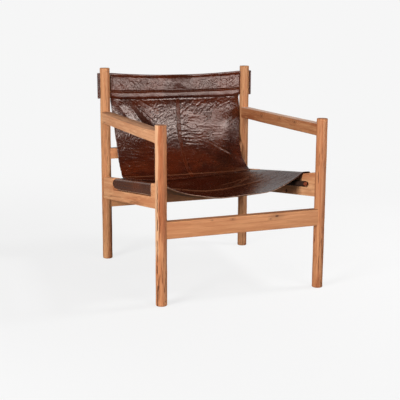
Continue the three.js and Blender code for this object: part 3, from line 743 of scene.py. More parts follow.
def thread_material(settings):
    """Waxed thread, twisted: fine specks of light and dark."""
    _, tree, shader, place = new_material("seam_thread")
    twist = noise_at(tree, place, 900.0, 1.0)
    tone = blend(tree, between(tree, twist, 0.35, 0.65), settings.seam, settings.worn_and_painted_light)
    link_surface(tree, shader, tone, between(tree, twist, 0.3, 0.7, 0.45, 0.6), twist, 0.0001)


# Legs

EASE_ROWS = 6  # of each rounded end
LEG_ROWS = 170  # of the straight part
LEG_COLUMNS = 144
LUMP_HEIGHT = 0.00045
CRACK_DEPTH = 0.0016
SLOT_BLEND = 0.02  # from a slot's ends to where the leg is uneven again
SAPWOOD_BLEND = 0.05


def crack_depth(height, turn, cracks):
    """Depth share of the cracks in a leg: a narrow valley round a line that wanders up the leg.

    Each crack is a turn round the leg, its lowest and highest point and its width as an angle.
    """
    depth = np.zeros_like(height)
    for seed, (middle, low, high, width) in enumerate(cracks):
        line = middle + 0.16 * noise(height / 0.045, 0 * height + 3.5, 40 + seed)
        line = line + 0.05 * noise(height / 0.012, 0 * height + 7.5, 60 + seed)
        gap = np.abs((turn - line + pi) % (2 * pi) - pi)
        fade = min(0.03, (high - low) / 2)
        ends = window(height, low, low + fade, high - fade, high)
        broken = smooth(-0.25, 0.15, noise(height / 0.03, 0 * height + 1.5, 80 + seed))
        depth = np.maximum(depth, ends * broken * (1 - smooth(0.35 * width, width, gap)))
    return depth


def leg_surface(name, x, y, height, arris, cracks, seed, sapwood=None, slot=None):
    """Round leg with eased ends, hand-worked unevenness and drying cracks.

    Its radius at a height and turn is the leg's own, drawn in by a quarter circle at both ends,
    less a little slow noise and the cracks' depth. Sapwood is a turn round the leg and its lowest
    and highest point. Where a slot is given, as its lowest and highest point and half its width,
    the faces inside it are left out and it gets four flat walls.
    """
    ease = np.linspace(0, pi / 2, EASE_ROWS)
    rise = np.concatenate([
        arris - arris * np.cos(ease), np.linspace(arris, height - arris, LEG_ROWS)[1:-1],
        height - arris + arris * np.sin(ease),
    ])
    radius = np.concatenate([
        LEG_RADIUS - arris + arris * np.sin(ease), np.full(LEG_ROWS - 2, LEG_RADIUS),
        LEG_RADIUS - arris + arris * np.cos(ease),
    ])
    turns = np.linspace(0, 2 * pi, LEG_COLUMNS, endpoint=False)
    if slot:
        low, high, half = slot
        first, last = (np.abs(rise - level).argmin() for level in (low, high))
        rise[[first, last]] = low, high
        side = np.arcsin(half / LEG_RADIUS)
        wanted = np.array([side, pi - side, pi + side, 2 * pi - side])
        corners = np.abs(turns[:, None] - wanted).argmin(axis=0)
        turns[corners] = wanted
    z, turn = np.meshgrid(rise, turns, indexing="ij")
    depth = crack_depth(z, turn, cracks)
    lumps = noise(z / 0.075, 1.5 * np.cos(turn) + 5, seed)
    lumps = lumps + 0.5 * noise(z / 0.03, 2 * np.sin(turn) + 9, seed)
    pale = 0 * z
    if sapwood:
        middle, lowest, highest = sapwood
        line = middle + 0.10 * noise(z / 0.05, 0 * z + 4.5, seed + 7)
        ends = window(z, lowest, lowest + SAPWOOD_BLEND, highest - SAPWOOD_BLEND, highest)
        pale = ends * (1 - smooth(0.46, 0.60, np.abs(turn - line)))
    uneven = window(z, 0, 4 * arris, height - 4 * arris, height)
    if slot:
        uneven = uneven * (1 - window(z, low - SLOT_BLEND, low, high, high + SLOT_BLEND))
    reach = radius[:, None] + (LUMP_HEIGHT * lumps - CRACK_DEPTH * depth) * uneven
    points = np.stack([x + reach * np.cos(turn), y + reach * np.sin(turn), z], axis=-1)
    index = np.arange(z.size).reshape(z.shape)
    faces = quads_of(np.concatenate([index, index[:, :1]], axis=1))
    walls = []
    if slot:
        up = (z[:-1] > low - 1e-6) & (z[:-1] < high - 1e-6)
        across = np.abs(np.sin(turn[:-1] + pi / LEG_COLUMNS)) < half / LEG_RADIUS
        faces = faces[~(up & across).ravel()]
        walls = slot_walls(index, first, last, corners)
    faces = faces.tolist() + walls + fan(z.size, index[0], -1) + fan(z.size + 1, index[-1])
    points = np.concatenate([points.reshape(-1, 3), [[x, y, 0.0], [x, y, height]]])
    shares = {"crack": depth, "sapwood": pale}
    marks = {key: np.concatenate([share.ravel(), [0, 0]]) for key, share in shares.items()}
    return add_mesh(name, points, faces, "leg", marks=marks)


def slot_walls(index, first, last, corners):
    """Faces of a slot through a leg along x: two upright walls in strips, a floor and a ceiling.

    first and last are its lowest and highest row, and corners its four columns in order of turn.
    """
    walls = [
        [index[row + 1, start], index[row + 1, end], index[row, end], index[row, start]]
        for row in range(first, last) for start, end in (corners[:2], corners[2:])
    ]
    right = [*range(corners[3], LEG_COLUMNS), *range(corners[0] + 1)]
    left = [*range(corners[1], corners[2] + 1)]
    return walls + [index[first, right + left].tolist(), index[last, right + left][::-1].tolist()]


# Armrests

ARM_ROWS = 90
CORNER_COLUMNS = 9
PLANED = 0.9  # how straight the outer top corner is, from 0 for a round one
ARM_GAP = 0.0004  # between an armrest's end and its leg


def arm_surface(name, side, settings):
    """Level armrest whose outer top edge is planed off most at its middle.

    Its section is a rounded rectangle, whose outer top corner is planed off nearly straight, by a
    width that rises as a half sine along the arm. Both ends are hollowed to the round of the leg
    that they meet.
    """
    half, r = ARM_WIDTH / 2, settings.arris
    rows = np.linspace(0, 1, ARM_ROWS)[:, None]
    shaved = r + settings.crown * np.sin(pi * rows)
    corners = (
        (half - shaved, ARM_TOP - shaved, shaved), (r - half, ARM_TOP - r, r + 0 * rows),
        (r - half, ARM_UNDERSIDE + r, r + 0 * rows), (half - r, ARM_UNDERSIDE + r, r + 0 * rows),
    )
    quarter = np.linspace(0, pi / 2, CORNER_COLUMNS)[None, :]
    x, z = [], []
    for number, (middle_x, middle_z, radius) in enumerate(corners):
        x.append(middle_x + radius * np.cos(quarter + number * pi / 2))
        z.append(middle_z + radius * np.sin(quarter + number * pi / 2))
    share = np.linspace(0, 1, CORNER_COLUMNS)[None, :]
    x[0] = (1 - PLANED) * x[0] + PLANED * (half - shaved * share)
    z[0] = (1 - PLANED) * z[0] + PLANED * (ARM_TOP - shaved + shaved * share)
    x, z = np.concatenate(x, axis=1), np.concatenate(z, axis=1)
    reach = LEG_RADIUS + ARM_GAP
    hollow = np.sqrt(np.maximum(reach**2 - x**2, 0))
    y = (FRONT_Y + hollow) * (1 - rows) + (REAR_Y - hollow) * rows
    wave = 0.0004 * noise(y / 0.12, 30 * z, 11)
    points = np.stack([side * (SIDE_X + x), y, z + wave], axis=-1)
    index = np.arange(x.size).reshape(x.shape)
    faces = quads_of(np.concatenate([index, index[:, :1]], axis=1))[:, ::-1].tolist()
    faces += fan(x.size, index[0]) + fan(x.size + 1, index[-1], -1)
    if side < 0:
        faces = [face[::-1] for face in faces]
    level = (ARM_TOP + ARM_UNDERSIDE) / 2
    ends = [[side * SIDE_X, FRONT_Y + reach, level], [side * SIDE_X, REAR_Y - reach, level]]
    return add_mesh(name, np.concatenate([points.reshape(-1, 3), ends]), faces, "arm")


# The seat leather's middle surface

SAG_SHARES = (0.9, 0.99, 1.0, 0.97, 0.84, 0.58, 0.06)
SAG_POWER = 2.5
SAG_POINTS = 200
# The wing over a rail: depths below the rail's top, radii of its bends and points of its parts
WRAP = {"drop": 0.036, "top": 0.004, "lower": 0.002, "bulge": 0.0012}
DOWEL = {
    "radius": 0.007, "drop": 0.0395, "inward": 0.0006, "start": 0.33, "stop": 3.35, "hem": 0.0413,
}
PARTS = {"flat": 8, "top": 9, "face": 14, "low": 7, "inward": 9, "ring": 30, "tail": 16}
ROLL_COLUMNS = 7
FRONT_WAVE = {"height": 0.0025, "depth": 0.061}
TONGUE = 0.036  # how far the rear corners of a wing are cut back
SEAT_ROWS = 110
SEAT_COLUMNS = 96  # from the centre line to the roll over the rail
COMES_BACK = (29, 36)  # points of the wing between which its front edge comes forward again


class Sling:
    """Places of the seat and back leather, worked out from the settings and the frame."""

    def __init__(self, scene):
        wood, hide = scene.chair_frame, scene.chair_leather
        self.slope = (wood.rail_front - wood.rail_rear) / (REAR_Y - FRONT_Y)
        self.rail_front_top = wood.rail_front + wood.rail_height
        self.room = hide.seat_thickness + 2 * hide.clearance
        self.off = hide.clearance + hide.seat_thickness / 2
        self.half_rail = wood.rail_thickness / 2
        self.inner_x = SIDE_X - self.half_rail
        self.front_y = FRONT_Y + hide.seat_front
        self.rear_y = REAR_Y - hide.seat_rear
        self.sag = hide.sag
        self.hide = hide

    def rail_top(self, y):
        """Height of a side rail's top: a straight slope down to the back."""
        return self.rail_front_top - self.slope * (y - FRONT_Y)

    def sag_at(self, y):
        """Sag below the rails at a depth: a smooth curve through the sag shares."""
        place = np.linspace(0, 1, len(SAG_SHARES))
        curve, _ = spline(np.column_stack([place, SAG_SHARES]), SAG_POINTS)
        share = np.clip((y - self.front_y) / (self.rear_y - self.front_y), 0, 1)
        return self.sag * np.interp(share, curve[:, 0], curve[:, 1])

    def middle_z(self, y):
        """Height of the seat's middle surface on the chair's centre line."""
        return self.rail_top(y) + self.off - self.room - self.sag_at(y)


def arc(x, z, radius, start, stop, count):
    """Points on a round arc, with its angles in quarter turns."""
    turn = np.linspace(start, stop, count) * pi / 2
    return np.column_stack([x + radius * np.cos(turn), z + radius * np.sin(turn)])


def wing(sling):
    """Path over a rail and back in: x outward from the leg's axis and z from the rail's top.

    From the middle of the rail's top it runs round the outer edge, down the outer face with a
    slight bulge, in through the slot, round the dowel, and back into the slot as a hem.
    """
    outer, mouth = sling.half_rail - sling.room, -sling.half_rail
    upper, lower = WRAP["top"], WRAP["lower"]
    top = arc(outer - upper, -sling.room - upper, upper + sling.off, 1, 0, PARTS["top"])
    low = arc(outer - lower, lower - WRAP["drop"], lower + sling.off, 0, -1, PARTS["low"])
    roll = DOWEL["radius"] + sling.off
    dowel_x = mouth - 2 * sling.off - roll + DOWEL["inward"]
    ring = arc(dowel_x, -DOWEL["drop"], roll, DOWEL["start"], DOWEL["stop"], PARTS["ring"])
    face = np.linspace(top[-1], low[0], PARTS["face"])[1:-1]
    face[:, 0] += WRAP["bulge"] * np.sin(np.linspace(0, pi, PARTS["face"])[1:-1])
    inward = np.linspace(low[-1], ring[0], PARTS["inward"])[1:-1]
    flat = np.linspace((mouth + upper, top[0, 1]), top[0], PARTS["flat"])[1:-1]
    end, level = ring[-1], -DOWEL["hem"]
    halfway = (0.5 * (end[0] + mouth), 0.45 * end[1] + 0.55 * level - 0.0003)
    knots = [end, halfway, (mouth, level - 0.0009)]
    knots += [(x, level) for x in (mouth + 0.004, mouth + 0.012, -mouth - 0.008)]
    tail, _ = spline(knots, PARTS["tail"])
    return np.concatenate([flat, top, face, low, inward, ring, tail[1:]])


def trimmed(grid, share):
    """Grid whose columns each start a share of the way down. Its rows are read off the old ones."""
    rows = len(grid)
    place = (share + (1 - share) * np.linspace(0, 1, rows)[:, None]) * (rows - 1)
    above = np.clip(np.floor(place).astype(int), 0, rows - 2)
    part = (place - above)[..., None]
    columns = np.arange(grid.shape[1])[None]
    return grid[above, columns] * (1 - part) + grid[above + 1, columns] * part


def mirrored(half, sign=1):
    """Grid with its columns mirrored to the left of its first one."""
    return np.concatenate([sign * half[:, :0:-1], half], axis=1)


def seat_middle(sling):
    """Middle surface of the seat: rows from front to rear, columns from the left ring to the right.

    Between the rails each row is a power curve, then a roll over the rail's inner edge, then the
    wing. The rear end of each wing is a rounded tongue: its rows stop short by an ellipse of the
    height on the rail's outer face. The front edge runs back to the right, over the right rail too,
    and comes forward again where the leather goes in through the rail.
    """
    v = np.linspace(0, 1, SEAT_ROWS)[:, None]
    depth = sling.rear_y - sling.front_y
    sag = sling.sag_at(sling.front_y + depth * v)
    roll = WRAP["top"] + sling.off
    roll_x, roll_z = sling.inner_x + WRAP["top"], -sling.room - WRAP["top"]
    climb = np.arctan(SAG_POWER * sag / sling.inner_x)
    end_x = roll_x - roll * np.sin(climb)
    end_z = roll_z + roll * np.cos(climb)
    middle = sling.off - sling.room - sag
    share = np.linspace(0, 1, SEAT_COLUMNS)[None, :-1]
    turn = pi / 2 + climb * np.linspace(1, 0, ROLL_COLUMNS)[None, :]
    side = wing(sling)
    x = [end_x * share, roll_x + roll * np.cos(turn), SIDE_X + side[None, :, 0] + 0 * v]
    z = [middle + (end_z - middle) * share**SAG_POWER, roll_z + roll * np.sin(turn)]
    x, z = np.concatenate(x, axis=1), np.concatenate([*z, side[None, :, 1] + 0 * v], axis=1)
    drop = np.clip(-z / WRAP["drop"], 0, 1)
    tongue = 1 - np.sqrt(np.clip(1 - (2 * drop - 1) ** 2, 0, 1))
    inset = TONGUE * smooth(sling.inner_x - 0.01, sling.inner_x + 0.012, x) * tongue
    y = mirrored(sling.front_y + (depth - inset) * v)
    x, z = mirrored(x, -1), mirrored(z)
    wave = hill(y, sling.front_y, FRONT_WAVE["depth"]) * np.clip(1 - (x / SIDE_X) ** 2, 0, 1) ** 2
    z = z + FRONT_WAVE["height"] * wave * np.sin(3 * pi * x / SIDE_X)
    middle = np.stack([x, y, z + sling.rail_top(y)], axis=-1)
    on_wing = np.arange(x.shape[1]) - (x.shape[1] - 1 - len(side))
    setback = smooth(0.05, sling.inner_x, x[0]) * (1 - smooth(*COMES_BACK, on_wing))
    return trimmed(middle, sling.hide.setback * setback[None] / depth)


# Places in plan of a crease across the seat, and of two shorter ones towards its right rear
SEAT_CREASE = (
    (-0.13, 0.092), (-0.10, 0.071), (-0.05, 0.0446), (0.0, 0.0265), (0.064, 0.0250),
    (0.127, 0.0275), (0.166, 0.0210), (0.200, 0.0), (0.25, -0.04),
)
SEAT_LINES = (((0.100, 0.020), (0.212, 0.098)), ((0.092, 0.080), (0.235, 0.104)))


def seat_relief(x, y, drop, sling):
    """Raised and sunk places of the seat, towards the sitter, and how pale each point is.

    Slow waves, streaks drawn out across the chair, a few creases and a rounded hem along its front
    edge, which curls up where it crosses the right rail. drop is the depth of a point below the
    rail's top.
    """
    free = 1 - smooth(sling.inner_x - 0.03, sling.inner_x, np.abs(x))
    slow = 0.0012 * noise(x / 0.11, y / 0.06, 21)
    curved = y + 0.10 * (x / SIDE_X) ** 2
    streaks = noise(x / 0.16, curved / 0.014, 22)
    fine = noise(x / 0.09, curved / 0.008, 23)
    crease = hill(y, np.interp(x, *zip(*SEAT_CREASE)), 0.0065) * window(x, -0.15, -0.09, 0.18, 0.24)
    for start, end in SEAT_LINES:
        along, off = beside(x, y, start, end)
        line = 0.6 * hill(off, 0, 0.0045) * window(along, -0.1, 0.2, 0.8, 1.1)
        crease = np.maximum(crease, line)
    start = sling.front_y + sling.hide.setback * smooth(0.05, sling.inner_x, x)
    hem = 0.0004 * smooth(0.014, 0.009, y - start)
    inner, outer = sling.inner_x, SIDE_X + sling.half_rail
    on_rail = window(x, inner - 0.02, inner + 0.004, inner + 0.022, outer - 0.001)
    curl = 0.0026 * hill(y, start, 0.012) * on_rail * (1 - smooth(0.008, 0.012, drop))
    rise = free * (slow + 0.0006 * streaks + 0.0003 * fine + 0.0020 * crease) + hem + curl
    # Paler colour: painted highlight on the crease and the two lines, partly painted highlight on
    # the streaks, and wear on the wings over the rails.
    worn_and_painted_light = free * (np.clip(0.35 * streaks + 0.25 * fine, 0, 1) + 2.4 * crease)
    strokes = noise(y / 0.15, (np.abs(x) + drop) / 0.0055, 24)
    worn_and_painted_light = worn_and_painted_light + smooth(sling.inner_x, SIDE_X, np.abs(x)) * (0.75 + 0.35 * strokes)
    return rise, worn_and_painted_light


def make_seat(scene):
    """Seat leather, from one dowel over both rails to the other."""
    sling = Sling(scene)
    middle = seat_middle(sling)
    drop = sling.rail_top(middle[..., 1]) - middle[..., 2]
    rise, worn_and_painted_light = seat_relief(middle[..., 0], middle[..., 1], drop, sling)
    middle = middle + grid_normals(middle) * rise[..., None]
    # The second mark paints shade on the cut edges and flesh side of the seat's right part.
    marks = {"worn_and_painted_light": worn_and_painted_light, "painted_shade": smooth(0.17, 0.27, middle[..., 0])}
    add_leather("seat_leather", middle, sling.hide.seat_thickness, marks)


# The back leather's middle surface

# Shares of the way back and of the way up at knots of the centre line
BACK_SHARES = (
    (0.29, 0.1), (0.51, 0.197), (0.68, 0.33), (0.794, 0.498), (0.87, 0.732), (0.94, 0.91),
)
BAND_LEAD = 0.006  # from where the centre line stands upright to the band
BACK_ROWS = 230
BACK_COLUMNS = 150
BACK_POINTS = 500
HALF_JOINT = 0.00015
LAP_LIFT = 0.0012  # how far the lap stands off the seat
LAP_END = 0.036  # height above the seat at which the back is down on its own line
# The seam strip: its lift off the halves, and how many rows it stops short of their top
STRIP = {
    "half": 0.0076, "thickness": 0.0015, "columns": 9, "lift": 0.0009, "crown": 0.0006,
    "short": 16,
}


def back_curve(sling, reach):
    """Centre line of the back in (y, z) and its length.

    It runs from a reach before the seat's rear edge up to the hem inside the band.
    """
    foot = np.array([sling.rear_y, sling.middle_z(sling.rear_y)])
    head = np.array([REAR_Y, BAND_UNDERSIDE - BAND_LEAD])
    knots = [(y, sling.middle_z(y)) for y in sling.rear_y - reach * np.array([1.0, 0.5, 0.0])]
    knots += [foot + (head - foot) * share for share in BACK_SHARES]
    return spline([*knots, head, (REAR_Y, BAND_UNDERSIDE + sling.hide.hem)], BACK_POINTS)


def back_folds(x, s):
    """Rise of the large folds of the back. s is the distance above the seat's rear edge.

    Two lines run down to the right from the upper left corner. The leather steps back on the lower
    left of the second one, in a slope that widens as it runs down, and bends away on the lower left
    of the first one. Its right border is bent away too, and its left border below them.
    """
    along, off = beside(x, s, (-0.2115, 0.345), (-0.108, 0.247))
    width = 0.0060 + 0.030 * np.clip(along, 0, 1.2)
    bead = 0.0012 * hill(off, -0.004, 0.003) + 0.0011 * hill(off, width + 0.006, 0.0022)
    rise = (bead - 0.42 * width * smooth(0, width, off)) * window(along, -0.25, 0.0, 0.85, 1.6)
    along, off = beside(x, s, (-0.264, 0.352), (-0.205, 0.262))
    rise = rise - 0.0080 * np.tanh(0.36 * ramp(off, 0.003) / 0.0080) * smooth(0.15, 0.26, s)
    rise = rise + 0.0018 * ridge(x, s, (-0.165, 0.343), (-0.090, 0.290), 0.005)
    fall = 0.25 * ramp(x - 0.196 - 0.038 * smooth(0.19, 0.29, s), 0.016)
    fall = fall + 0.20 * ramp(-x - 0.180, 0.014) * (1 - smooth(0.19, 0.27, s))
    return rise - fall * smooth(0.02, 0.12, s)


def back_relief(x, s, top):
    """Raised and sunk places of the back, towards the sitter, and how pale each point is.

    s is the distance above the seat's rear edge and top that of the band's lower edge. Over the
    folds lie slow waves and creases that meet in a net: round cells on the left, cells that slant
    up to the right on the right, deepest above the lower third. Short level wrinkles lie right of
    the seam and at the lower left edge, and a bead where the leather rises from the seat.
    """
    slow = 0.0016 * noise(x / 0.15, s / 0.12, 31) + 0.0006 * noise(x / 0.045, s / 0.035, 44)
    upper = smooth(0.11, 0.20, s - 0.05 * x)
    right = smooth(-0.01, 0.03, x)
    far_left = smooth(-0.10, -0.15, x + 0.5 * (0.30 - s)) * smooth(0.20, 0.26, s)
    high = smooth(0.215, 0.265, s)
    round_web = 0.7 * crinkle(x, s, 0.020, 0.013, 0.5, 32)
    drawn_web = 0.7 * crinkle(x, s, 0.070, 0.009, -0.68, 76)
    slant_web = 0.75 * crinkle(x, s, 0.085, 0.018, 0.70, 36)
    slant_web = slant_web + 0.55 * crinkle(x, s, 0.060, 0.021, -0.40, 66)
    level_web = (1 - 0.6 * smooth(0.06, 0.15, x)) * crinkle(x, s, 0.050, 0.016, 0.06, 48)
    web = (round_web * (1 - far_left) + drawn_web * far_left) * (1 - right)
    web = web + right * (slant_web * high + level_web * (1 - high))
    bowed = s - 2.2 * (x - 0.06) ** 2
    level = noise(x / 0.040, bowed / 0.0085, 41) * hill(x, 0.035, 0.050) * hill(s, 0.205, 0.050)
    hairs = noise(x / 0.050, (s + 0.05 * x) / 0.0055, 45) * window(s, 0.02, 0.05, 0.13, 0.19)
    short = noise(x / 0.024, (s + 0.25 * x) / 0.0060, 42)
    short = short * smooth(-0.12, -0.24, x) * hill(s, 0.060, 0.075)
    shallow = noise(x / 0.030, (s + 0.3 * x) / 0.0070, 43)
    shallow = shallow * smooth(-0.04, -0.13, x) * hill(s, 0.10, 0.07)
    glint = ridge(x, s, (-0.200, 0.146), (-0.125, 0.128), 0.0028)
    along, off = beside(x, s, (0.105, 0.174), (0.212, 0.104))
    crease = hill(off, 0, 0.0026) * window(along, -0.1, 0.9, 0.95, 1.04)
    under = hill(s, top - 0.014 - 0.010 * np.abs(x), 0.0017) * window(x, -0.18, -0.10, 0.06, 0.15)
    bead = hill(s, 0.004, 0.0022)
    held = 1 - smooth(top - 0.012, top + 0.003, s)
    lying = smooth(0.004, 0.030, s)
    rise = back_folds(x, s) + slow + (0.0007 + 0.0011 * upper) * web + 0.0013 * level
    rise = rise + 0.0034 * short + 0.0020 * shallow + 0.0020 * glint + 0.0022 * crease
    rise = (rise + 0.0004 * hairs) * lying - 0.0014 * under + 0.0018 * bead
    # Paler colour: painted highlight on the bead, the glint, the crease and the level wrinkles;
    # wear mixed with painted sheen on the net above the lower third and on the short wrinkles; wear
    # on the hairlines.
    worn_and_painted_light = 0.20 * upper * (1 + web) + 0.30 * level + 0.15 * short + 0.4 * glint + 0.8 * crease
    worn_and_painted_light = worn_and_painted_light + 0.35 * hairs
    return held * rise, np.clip(held * worn_and_painted_light * lying, 0, 1) + 1.7 * bead


# Places across the chair of the left border and of the seam, at heights above the seat
LEFT_BORDER = (
    (-0.045, -0.2740), (0.01, -0.2715), (0.03, -0.2665), (0.06, -0.2600), (0.10, -0.2555),
    (0.14, -0.2540), (0.18, -0.2555), (0.22, -0.2590), (0.26, -0.2640), (0.30, -0.2700),
    (0.345, -0.2735), (0.40, -0.2735),
)
SEAM = (
    (-0.045, 0.0065), (0.01, 0.0058), (0.06, 0.0052), (0.105, 0.0055), (0.14, 0.0038),
    (0.175, 0.0017), (0.24, -0.0003), (0.30, 0.0008), (0.345, 0.0025), (0.40, 0.0025),
)


def left_border(s):
    """Place of the back's left border across the chair, at a distance above the seat."""
    return np.interp(s, *zip(*LEFT_BORDER))


def right_border(s):
    """Place of the back's right border across the chair, at a distance above the seat."""
    return 0.2600 + 0.0140 * smooth(0.0, 0.28, s)


def beside_seam(off):
    """Line at a distance off the seam, as a function of the distance above the seat."""
    return lambda s: np.interp(s, *zip(*SEAM)) + off


def back_grid(sling, columns, first, last):
    """Points of the back's middle surface and how pale each is.

    Rows run from the lap's slanting front edge to inside the band, and columns from one border to
    another, each given as a function of the height. The surface is the back's centre line, lifted
    at its sides as the seat is, held clear of the seat where it laps on it, and moved by its
    relief.
    """
    hide = sling.hide
    reach = hide.lap + hide.lap_slant * sling.inner_x
    curve, length = back_curve(sling, reach)
    v = np.linspace(0, 1, BACK_ROWS)[:, None]
    shares = np.linspace(0, 1, columns)[None, :]
    start = hide.lap_slant * (first(0 * v) + (last(0 * v) - first(0 * v)) * shares) - hide.lap
    s = start + (length - reach - start) * v
    x = first(s) + (last(s) - first(s)) * shares
    run = np.linspace(0, length, len(curve))
    place = read_path(curve, run, s + reach)
    y, z = place[..., 0], place[..., 1]
    slope = read_path(np.gradient(curve, run, axis=0), run, s + reach)
    rear_lift = sling.sag_at(sling.rear_y) * (1 - (y - sling.rear_y) / (REAR_Y - sling.rear_y))
    lift = np.where(y < sling.rear_y, sling.sag_at(y), rear_lift)
    lift = lift * np.clip(np.abs(x) / sling.inner_x, 0, 1) ** SAG_POWER
    clear = hide.seat_thickness / 2 + hide.clearance + hide.back_thickness / 2 + LAP_LIFT
    relief, worn_and_painted_light = back_relief(x, s, length - reach - hide.hem)
    rise = relief + clear * (1 - smooth(0.0, LAP_END, s))
    return np.stack([x, y - slope[..., 1] * rise, z + lift + slope[..., 0] * rise], axis=-1), worn_and_painted_light


def make_back(scene):
    """Two halves of the back leather and the strip that covers the joint between them."""
    sling = Sling(scene)
    hide = sling.hide
    halves = (
        ("left", left_border, beside_seam(-HALF_JOINT), slice(2, -4)),
        ("right", beside_seam(HALF_JOINT), right_border, slice(4, -2)),
    )
    for label, first, last, lap in halves:
        points, worn_and_painted_light = back_grid(sling, BACK_COLUMNS, first, last)
        normal = grid_normals(points)
        line = (points + normal * hide.back_thickness / 2)[3, lap]
        sewn = [stitches(f"{label}_lap_stitches", line, normal[3, lap], hide)]
        marks = {"worn_and_painted_light": worn_and_painted_light}
        add_leather(f"back_{label}_leather", points, hide.back_thickness, marks)
    half, thickness, columns = STRIP["half"], STRIP["thickness"], STRIP["columns"]
    points, worn_and_painted_light = back_grid(sling, columns, beside_seam(-half), beside_seam(half))
    points, worn_and_painted_light = points[:-STRIP["short"]], worn_and_painted_light[:-STRIP["short"]]
    crown = STRIP["crown"] * np.cos(np.linspace(-pi / 2, pi / 2, columns))[None, :, None]
    points = points + grid_normals(points) * (hide.back_thickness / 2 + STRIP["lift"] + crown)
    normal = grid_normals(points)
    sewn = []
    for label, column in (("left", 1), ("right", columns - 2)):
        line = (points + normal * thickness / 2)[4:-2, column]
        sewn.append(stitches(f"{label}_seam_stitches", line, normal[4:-2, column], hide))
    add_leather("back_seam_leather", points, thickness, {"worn_and_painted_light": worn_and_painted_light})


# Band

BAND_GAP = 0.0003
NECK = 0.001  # added to the gap where the plies run through a post's slot
TAPER = 0.03  # length of the back's edge over which the plies close
LOOP_RADIUS = 0.0043
LOOP_COLUMNS = 33
THROAT_COLUMNS = 10
DIP = 0.011  # how far the top edge hangs at the middle
HANG = 0.0080  # how far the lower edge hangs at the middle
LEAN = 0.17  # slope of the middle's top to the back
LEAN_START = 0.034
BAND_ROWS = 64
BAND_COLUMNS = 300  # of each ply between the posts
BAND_ENDS = (0.2775, 0.270)  # between which the relief dies out beside the posts
BAND_MIDDLE = (-0.005, 0.052)  # middle and width of the part that leans back
STITCH_HEIGHT = 0.0247
STITCHED_HALF = 0.268


def band_plan(inner_half):
    """Closed path of the band in plan, at half its width between the posts.

    It is the front ply from left to right, a loop round the right dowel, the rear ply and the left
    loop. It narrows between the back's edges and the posts' slots.
    """
    post = SIDE_X - LEG_RADIUS
    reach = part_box("back_right_half")[1].x
    tight = BAND_GAP + NECK
    dowel_low, dowel_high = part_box("right_back_dowel")
    loop_x = (dowel_low.x + dowel_high.x) / 2
    throat = pi - np.arcsin(tight / LOOP_RADIUS)
    x = np.linspace(-post, post, BAND_COLUMNS)
    half = inner_half + (tight - inner_half) * smooth(reach - TAPER, post, np.abs(x))
    front = np.column_stack([x, -half])
    turn = np.linspace(-throat, throat, LOOP_COLUMNS)
    loop = np.column_stack([loop_x + LOOP_RADIUS * np.cos(turn), LOOP_RADIUS * np.sin(turn)])
    through = np.linspace(front[-1], loop[0], THROAT_COLUMNS)[1:-1]
    right = np.concatenate([front, through, loop, (through * (1, -1))[::-1]])
    return np.concatenate([right, -right, right[:1]])


def band_relief(x, height, front):
    """Raised and sunk places of the band, outwards, and how pale each point is.

    Creases meet in a net. The front swells out from its lower edge to a padded flat roll, with a
    groove above it, and above the groove it swells again and falls back at its top.
    """
    right = smooth(0.02, 0.10, x)
    web = crinkle(x, height, 0.019, 0.011, -0.6, 51) * (1 - right)
    web = web + crinkle(x, height, 0.034, 0.011, 0.5, 61) * right
    slow = 0.0010 * noise(x / 0.060, height / 0.035, 58)
    slow = slow + 0.0006 * noise(x / 0.025, height / 0.020, 59)
    line = height - 0.0235 - 0.0020 * noise(x / 0.12, 0 * x + 2.5, 57)
    above = smooth(0.001, 0.009, line)
    crumple = 0.0014 * above * (1 - 0.6 * hill(x, *BAND_MIDDLE)) * web
    swell = np.sin(pi / 2 * np.clip(height / 0.010, 0, 1)) * (1 - smooth(0.080, 0.092, height))
    groove = hill(line, 0.0012, 0.0030)
    # Paler colour on the net's ridges and on the front roll below the groove: partly wear, partly
    # painted highlight.
    worn_and_painted_light = 0.2 * above * (1 + web) + 0.2 * front * smooth(-0.012, -0.004, line) * (1 - above)
    top = 1 - smooth(0.086, 0.092, height)
    rise = (crumple + slow) * top + front * (0.0045 * swell - 0.0042 * groove)
    span = smooth(*BAND_ENDS, np.abs(x))
    return span * rise, span * np.clip(worn_and_painted_light, 0, 1)


def make_band(scene):
    """Band along the top of the back, looped round a dowel outside each post's slot.

    Its middle leans back at its top and its lower edge hangs a little between the posts.
    """
    hide = scene.chair_leather
    closed_half = BAND_GAP + hide.band_thickness / 2
    wide, narrow = band_plan(hide.back_thickness / 2 + closed_half), band_plan(closed_half)
    up = np.linspace(0, 1, BAND_ROWS)[:, None]
    height = (BAND_TOP - BAND_UNDERSIDE) * up
    share = smooth(hide.hem, hide.hem + 0.015, height)[..., None]
    plan = wide[None] * (1 - share) + narrow[None] * share
    x, y = plan[..., 0], plan[..., 1]
    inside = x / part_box("back_right_half")[1].x
    dip = DIP * np.clip(1 - inside**2, 0, 1) * up
    hang = HANG * np.clip(1 - inside**12, 0, 1) * (1 - smooth(0.0, 0.3, up))
    lean = LEAN * ramp(height - LEAN_START, 0.006) * hill(x, *BAND_MIDDLE)
    middle = np.stack([x, REAR_Y + y + lean, BAND_UNDERSIDE + height - dip - hang], axis=-1)
    front = (y < 0) * smooth(*BAND_ENDS, np.abs(x))
    rise, worn_and_painted_light = band_relief(x, height + 0 * x, front)
    middle = middle + grid_normals(middle, ring=True) * rise[..., None]
    outward = grid_normals(middle, ring=True)
    row = round(STITCH_HEIGHT / (BAND_TOP - BAND_UNDERSIDE) * (BAND_ROWS - 1))
    between_posts = np.abs(x[row]) < STITCHED_HALF
    for label, ply in (("front", y[row] < 0), ("rear", y[row] > 0)):
        kept = between_posts & ply
        line = (middle + outward * hide.band_thickness / 2)[row, kept]
        stitches(f"{label}_band_stitches", line, outward[row, kept], hide)
    add_leather("band_leather", middle, hide.band_thickness, {"worn_and_painted_light": worn_and_painted_light}, ring=True)


# Operators

